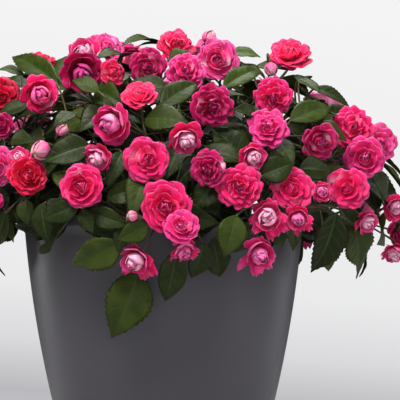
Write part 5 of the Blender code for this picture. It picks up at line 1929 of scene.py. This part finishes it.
def petal_surface(back):
    """A petal's velvety face, finely streaked from its claw, or its duller back."""
    name = "petal_back" if back else "petal_face"
    constants = {
        "Subsurface Weight": 0.25,
        "Subsurface Radius": (1.0, 0.3, 0.4),
        "Subsurface Scale": 0.0015,
        "Sheen Weight": 0.10,
        "Sheen Roughness": 0.4,
        "Specular IOR Level": 0.25,
    }
    made = Surface(name, constants)
    tint, place = made.tint(), made.place()
    fibre = made.noise(made.stretched(place, (13.0, 1.6, 31.0)), 1.6, 4.0, 0.6)
    cloud = made.noise(made.stretched(place, (1.6, 1.3, 17.0)), 1.3, 3.0)
    fine = made.noise(made.point(), 900.0, 2.0)
    deep = made.times(tint, (0.82, 0.50, 0.68))
    pale = made.blend(0.16, tint, colour((1.0, 0.70, 0.80)))
    base = made.blend(fibre.between(0.62, 0.38) * 0.45, tint, deep)
    base = made.blend(cloud.between(0.52, 0.78) * (0.9 if back else 0.6), base, pale)
    made.feed("Base Color", base)
    made.feed("Roughness", 0.48 + (fine - 0.5) * 0.14 + (fibre - 0.5) * 0.12)
    made.bumped(fibre + fine * 0.15, 0.25, 0.0004)
    return made.material


# ---------- what a user would change


def colour_property(name, description, default):
    return bpy.props.FloatVectorProperty(
        name=name, description=description, subtype="COLOR", size=3, min=0, max=1, default=default
    )


def tone_property(name, default):
    return colour_property(name, f"{name} petals", default)


def roughness_property(surface, default):
    return bpy.props.FloatProperty(
        name="Roughness",
        description=f"Roughness of {surface}",
        subtype="FACTOR",
        min=0,
        max=1,
        default=default,
    )


class PlanterLook(bpy.types.PropertyGroup):
    colour: colour_property("Colour", "Colour of the planter", (0.0750, 0.0708, 0.0835))
    roughness: roughness_property("the planter", 0.42)


class CompostLook(bpy.types.PropertyGroup):
    colour: colour_property("Colour", "Colour of damp compost", (0.022, 0.014, 0.009))


class LeafLook(bpy.types.PropertyGroup):
    grown: colour_property("Grown leaves", "Full-grown leaves", (0.0238, 0.0360, 0.0050))
    young: colour_property("Young leaves", "The youngest leaves", (0.060, 0.088, 0.0095))
    underside: colour_property("Undersides", "Undersides of the leaves", (0.036, 0.039, 0.010))
    veins: colour_property("Veins", "Ribs on the leaves' upper sides", (0.055, 0.090, 0.024))
    stems: colour_property("Stems", "Stems where they are green", (0.055, 0.066, 0.019))
    roughness: roughness_property("the leaves' upper sides", 0.40)


class BloomLook(bpy.types.PropertyGroup):
    hot: tone_property("Hot pink", (0.84, 0.027, 0.190))
    rose: tone_property("Rose", (0.84, 0.050, 0.280))
    deep: tone_property("Deep crimson", (0.50, 0.009, 0.112))
    coral: tone_property("Coral", (0.84, 0.029, 0.145))
    red: tone_property("Red", (0.70, 0.009, 0.066))
    pale: tone_property("Pale pink", (0.87, 0.088, 0.335))
    white: tone_property("Near white", (0.93, 0.390, 0.565))
    petal_thickness: bpy.props.FloatProperty(
        name="Petal thickness",
        description="Thickness of a petal",
        subtype="DISTANCE",
        unit="LENGTH",
        min=0.0002,
        max=0.001,
        default=0.0004,
    )


# Beside a tone's face colour: its rim, its heart and its petals' backs. The darker heart is partly
# the petals' own colour, partly painted shade of the bloom's recess
TONE_PARTS = {
    "hot": ((0.86, 0.070, 0.320), (0.76, 0.013, 0.118), (0.88, 0.170, 0.420)),
    "rose": ((0.87, 0.120, 0.420), (0.80, 0.022, 0.175), (0.89, 0.260, 0.520)),
    "deep": ((0.68, 0.045, 0.290), (0.37, 0.003, 0.064), (0.64, 0.065, 0.300)),
    "coral": ((0.87, 0.062, 0.240), (0.74, 0.009, 0.078), (0.88, 0.150, 0.320)),
    "red": ((0.82, 0.026, 0.130), (0.48, 0.002, 0.034), (0.78, 0.060, 0.200)),
    "pale": ((0.88, 0.130, 0.420), (0.83, 0.044, 0.220), (0.90, 0.250, 0.500)),
    "white": ((0.92, 0.240, 0.450), (0.92, 0.220, 0.410), (0.95, 0.620, 0.740)),
}
FLASH = (1.00, 0.74, 0.83)  # the near white patches that some petals have
BUD_TONE = ((0.72, 0.42, 0.38), (0.70, 0.34, 0.42), (0.80, 0.05, 0.24), (0.74, 0.27, 0.45))


class StageLook(bpy.types.PropertyGroup):
    floor: colour_property("Floor", "Colour of the studio floor", (0.46, 0.46, 0.467))
    light: bpy.props.FloatProperty(
        name="Light", description="Strength of all the lights", min=0, max=10, default=1.0
    )


def looks_property(group, name, description):
    return bpy.props.PointerProperty(type=group, name=name, description=description)


class PlantLook(bpy.types.PropertyGroup):
    planter: looks_property(PlanterLook, "Planter", "Planter")
    compost: looks_property(CompostLook, "Compost", "Compost")
    leaves: looks_property(LeafLook, "Leaves", "Leaves and stems")
    blooms: looks_property(BloomLook, "Blooms", "Blooms")
    stage: looks_property(StageLook, "Stage", "Floor and lights")


# ---------- operators

PLANT = {}


def plant():
    """The layout, worked out once: stems with all their leaves, and sprays of blooms."""
    if not PLANT:
        stems, sprays, crowd = layout()
        fill_mound(stems, crowd)
        PLANT.update(stems=stems, sprays=sprays)
    return PLANT["stems"], PLANT["sprays"]


class BUSYLIZZIE_OT_planter(bpy.types.Operator):
    """Makes the satin planter"""

    bl_idname = "busylizzie.planter"
    bl_label = "Planter"

    def execute(self, context):
        skin = Skin()
        profile = planter_profile()
        skin.turned(swept_round(profile, PLANTER_SIDES), profile[0][1], profile[-1][1])
        material = planter_surface(context.scene.plant_look.planter)
        skin.piece("planter_turned", "planter", [material], 35)
        return {"FINISHED"}


class BUSYLIZZIE_OT_compost(bpy.types.Operator):
    """Makes the compost with its crumbs and perlite"""

    bl_idname = "busylizzie.compost"
    bl_label = "Compost"

    def execute(self, context):
        skin = Skin()
        grow_compost(skin)
        material = compost_surface(context.scene.plant_look.compost)
        skin.piece("compost_crumbly", "compost", [material])
        return {"FINISHED"}


class BUSYLIZZIE_OT_stems(bpy.types.Operator):
    """Grows the leafy stems"""

    bl_idname = "busylizzie.stems"
    bl_label = "Leafy stems"

    def execute(self, context):
        look = context.scene.plant_look.leaves
        materials = [leaf_surface(look, False), leaf_surface(look, True), stem_surface(look)]
        greens = tuple(look.grown), tuple(look.young)
        old_greens = greens[0], greens[0]
        stems, _ = plant()
        for number, stem in enumerate(stems, 1):
            skin = Skin()
            name = stem["name"]
            grow_stem(skin, stem["axes"][0][1], STEM_RADIUS, GROWN_TAPER, greens[0], name)
            for spray in stem["shoots"]:
                grow_stem(skin, spray.shoot, SHOOT_RADIUS, 0.0, greens[1], spray.name)
            for k, leaf in enumerate(stem["leaves"]):
                share = SMALL_LEAVES.get(number, {}).get(k, 1.0)
                leaf = replace(leaf, tip=leaf.base.lerp(leaf.tip, share), width=leaf.width * share)
                # painted shade: leaves under the blooms are made darker
                tone = PAINTED_SHADE_FACTOR if k in LEAVES_IN_PAINTED_SHADE.get(number, ()) else 1.0
                grow_leaf(skin, leaf, f"{name} leaf {k}", [[c * tone for c in g] for g in greens])
            for k, leaf in enumerate(stem.get("inner", ())):
                grow_leaf(skin, leaf, f"{name} inner leaf {k}", old_greens, INNER_LEAF_ROWS)
            skin.piece(name + "_grown", name, materials)
        return {"FINISHED"}


class BUSYLIZZIE_OT_blooms(bpy.types.Operator):
    """Opens the sprays of blooms"""

    bl_idname = "busylizzie.blooms"
    bl_label = "Blooms"

    def execute(self, context):
        plant_look = context.scene.plant_look
        look = plant_look.blooms
        materials = [petal_surface(False), petal_surface(True), stem_surface(plant_look.leaves)]
        tones = {}
        for tone, (rim, heart, back) in TONE_PARTS.items():
            tones[tone] = (rim, tuple(getattr(look, tone)), heart, back)
        thickness = look.petal_thickness / MM
        _, sprays = plant()
        for spray in sprays:
            skin = Skin()
            for bloom in spray.blooms:
                grow_bloom(skin, bloom, tones, thickness, tuple(plant_look.leaves.young))
            skin.piece(spray.name + "_open", spray.name, materials)
        return {"FINISHED"}


class BUSYLIZZIE_OT_stage(bpy.types.Operator):
    """Sets the studio floor, backdrop light, lamps and camera"""

    bl_idname = "busylizzie.stage"
    bl_label = "Stage"

    def execute(self, context):
        look = context.scene.plant_look.stage
        lay_floor(look)
        hang_sky(context.scene, look)
        for row in LAMPS:
            hang_lamp(look, *row)
        place_camera(context.scene)
        context.scene.view_settings.view_transform = "Standard"
        context.scene.view_settings.gamma = CONTRAST
        return {"FINISHED"}


CONTRAST = 0.85  # gamma of the view
FLOOR_RADIUS = 2.2
FLOOR_SIDES = 96
FLOOR_FADE = (0.95, 0.25)  # shares of the radius where the floor is gone, and where it is whole
CAMERA_AWAY = 12.0
CAMERA_PLANE = -0.02  # depth at which the view is FIELD across
CAMERA_MIDDLE = (0.0363, 0.275)  # across and up
FIELD = 0.397
SENSOR = 36.0
# Lamps: name, place, height they aim at, width, height, watts
LAMPS = (
    ("key", (-0.9, -2.0, 2.8), 0.30, 2.0, 2.0, 172.0),
    ("front", (0.4, -3.2, 0.6), 0.25, 2.0, 1.4, 21.0),
    ("side_left", (-2.3, -0.6, 1.0), 0.28, 0.9, 1.6, 12.0),
    ("side_right", (2.3, -0.6, 1.0), 0.28, 0.9, 1.6, 30.0),
    ("top", (0.2, 0.9, 2.5), 0.35, 1.4, 1.4, 50.0),
    ("rim_left", (-1.9, 1.4, 0.5), 0.20, 0.4, 1.2, 11.0),
    ("rim_right", (1.9, 1.4, 0.5), 0.20, 0.4, 1.2, 7.0),
)
LAMP_TINTS = {"key": (1.0, 0.99, 0.97)}  # the others are white


def lay_floor(look):
    """A round pale floor that fades into the backdrop."""
    mesh = bpy.data.meshes.new("floor")
    ring = [point for _, point in circle(FLOOR_RADIUS, 0, FLOOR_SIDES)]
    mesh.from_pydata(ring, [], [list(range(FLOOR_SIDES))])
    floor = stand("floor", mesh)
    made = Surface("floor_paper", {"Roughness": 0.85, "Specular IOR Level": 0.0})
    cloud = made.noise(made.point(), 2.0, 2.0)
    pale = colour([min(c * 1.03, 1) for c in look.floor])
    made.feed("Base Color", made.blend(cloud, colour(look.floor), pale))
    away = made.node("VectorMath", {"operation": "LENGTH"}, {0: made.point()}, "Value")
    made.feed("Alpha", away.between(*[FLOOR_RADIUS * share for share in FLOOR_FADE]))
    mesh.materials.append(made.material)


SKY_SPAN = FIELD / 2 / CAMERA_AWAY * 2  # the slope at which the backdrop's shades end
SKY_LEAN = 0.075  # how much the backdrop's painted shades lean to the left
SOFT_LIGHT = (0.034, 0.034, 0.036)  # what the backdrop sheds on the plant
SKY_STOPS = (  # from looking down to looking up, level at a half; the darker band below level is painted shade
    (0.0, (0.86, 0.86, 0.865)),
    (0.13, (0.80, 0.80, 0.81)),
    (0.245, (0.485, 0.48, 0.505)),
    (0.31, (0.70, 0.70, 0.715)),
    (0.385, (0.825, 0.826, 0.834)),
    (0.67, (0.885, 0.885, 0.89)),
    (0.75, (0.905, 0.90, 0.905)),
    (1.0, (0.90, 0.90, 0.905)),
)


def hang_sky(scene, look):
    """The backdrop: pale, with painted shade that darkens it towards the table, and a softer light
    on the plant.
    """
    world = bpy.data.worlds.new("studio")
    world.use_nodes = True
    tree = world.node_tree
    tree.nodes.clear()
    made = Nodes(tree)
    sideways, _, height = made.split(made.node("TexCoord", None, None, "Generated"))
    share = (height + sideways * SKY_LEAN) / SKY_SPAN
    stops = [(at, [c**CONTRAST for c in shade]) for at, shade in SKY_STOPS]
    seen = made.node("ValToRGB", {"stops": stops}, {0: share * 0.5 + 0.5})
    light = colour([look.light * c for c in SOFT_LIGHT])
    direct = made.node("LightPath", None, None, "Is Camera Ray")
    shown = made.blend(direct, light, seen)
    glow = made.node("Background", None, {"Color": shown, "Strength": 1.0})
    output = tree.nodes.new("ShaderNodeOutputWorld")
    tree.links.new(glow.socket, output.inputs["Surface"])
    scene.world = world


def hang_lamp(look, name, place, aim_height, width, height, watts):
    lamp = bpy.data.lights.new(name, "AREA")
    lamp.shape = "RECTANGLE"
    lamp.size, lamp.size_y = width, height
    lamp.energy = watts * look.light
    lamp.color = LAMP_TINTS.get(name, PLAIN)
    hung = stand(name, lamp)
    hung.location = place
    hung.rotation_mode = "QUATERNION"
    aim = Vector((0, 0, aim_height))
    hung.rotation_quaternion = (aim - Vector(place)).to_track_quat("-Z", "Y")


def place_camera(scene):
    """A long lens, level with the plant."""
    camera = bpy.data.cameras.new("camera")
    camera.sensor_width = SENSOR
    camera.lens = SENSOR * (CAMERA_AWAY + CAMERA_PLANE) / FIELD
    camera.clip_end = 100.0
    holder = stand("camera", camera)
    across_view, height = CAMERA_MIDDLE
    holder.location = (across_view, -CAMERA_AWAY, height)
    holder.rotation_euler = (math.pi / 2, 0, 0)
    scene.camera = holder


class BUSYLIZZIE_PT_panel(bpy.types.Panel):
    """Lists the pieces and their looks"""

    bl_label = "Busy lizzie"
    bl_space_type = "VIEW_3D"
    bl_region_type = "UI"
    bl_category = "Planter"

    def draw(self, context):
        look = context.scene.plant_look
        rows = (
            ("busylizzie.planter", look.planter),
            ("busylizzie.compost", look.compost),
            ("busylizzie.stems", look.leaves),
            ("busylizzie.blooms", look.blooms),
            ("busylizzie.stage", look.stage),
        )
        for operator, group in rows:
            box = self.layout.box()
            box.operator(operator)
            for key in group.__annotations__:
                box.prop(group, key)


CLASSES = (
    PlanterLook,
    CompostLook,
    LeafLook,
    BloomLook,
    StageLook,
    PlantLook,
    BUSYLIZZIE_OT_planter,
    BUSYLIZZIE_OT_compost,
    BUSYLIZZIE_OT_stems,
    BUSYLIZZIE_OT_blooms,
    BUSYLIZZIE_OT_stage,
    BUSYLIZZIE_PT_panel,
)


def register():
    for made in CLASSES:
        bpy.utils.register_class(made)
    about = "Colours and finishes of the plant and its planter"
    bpy.types.Scene.plant_look = looks_property(PlantLook, "Plant", about)


def unregister():
    del bpy.types.Scene.plant_look
    for made in reversed(CLASSES):
        bpy.utils.unregister_class(made)


def main():
    register()
    bpy.ops.busylizzie.planter()
    bpy.ops.busylizzie.compost()
    bpy.ops.busylizzie.stems()
    bpy.ops.busylizzie.blooms()
    bpy.ops.busylizzie.stage()


if __name__ == "__main__":
    main()
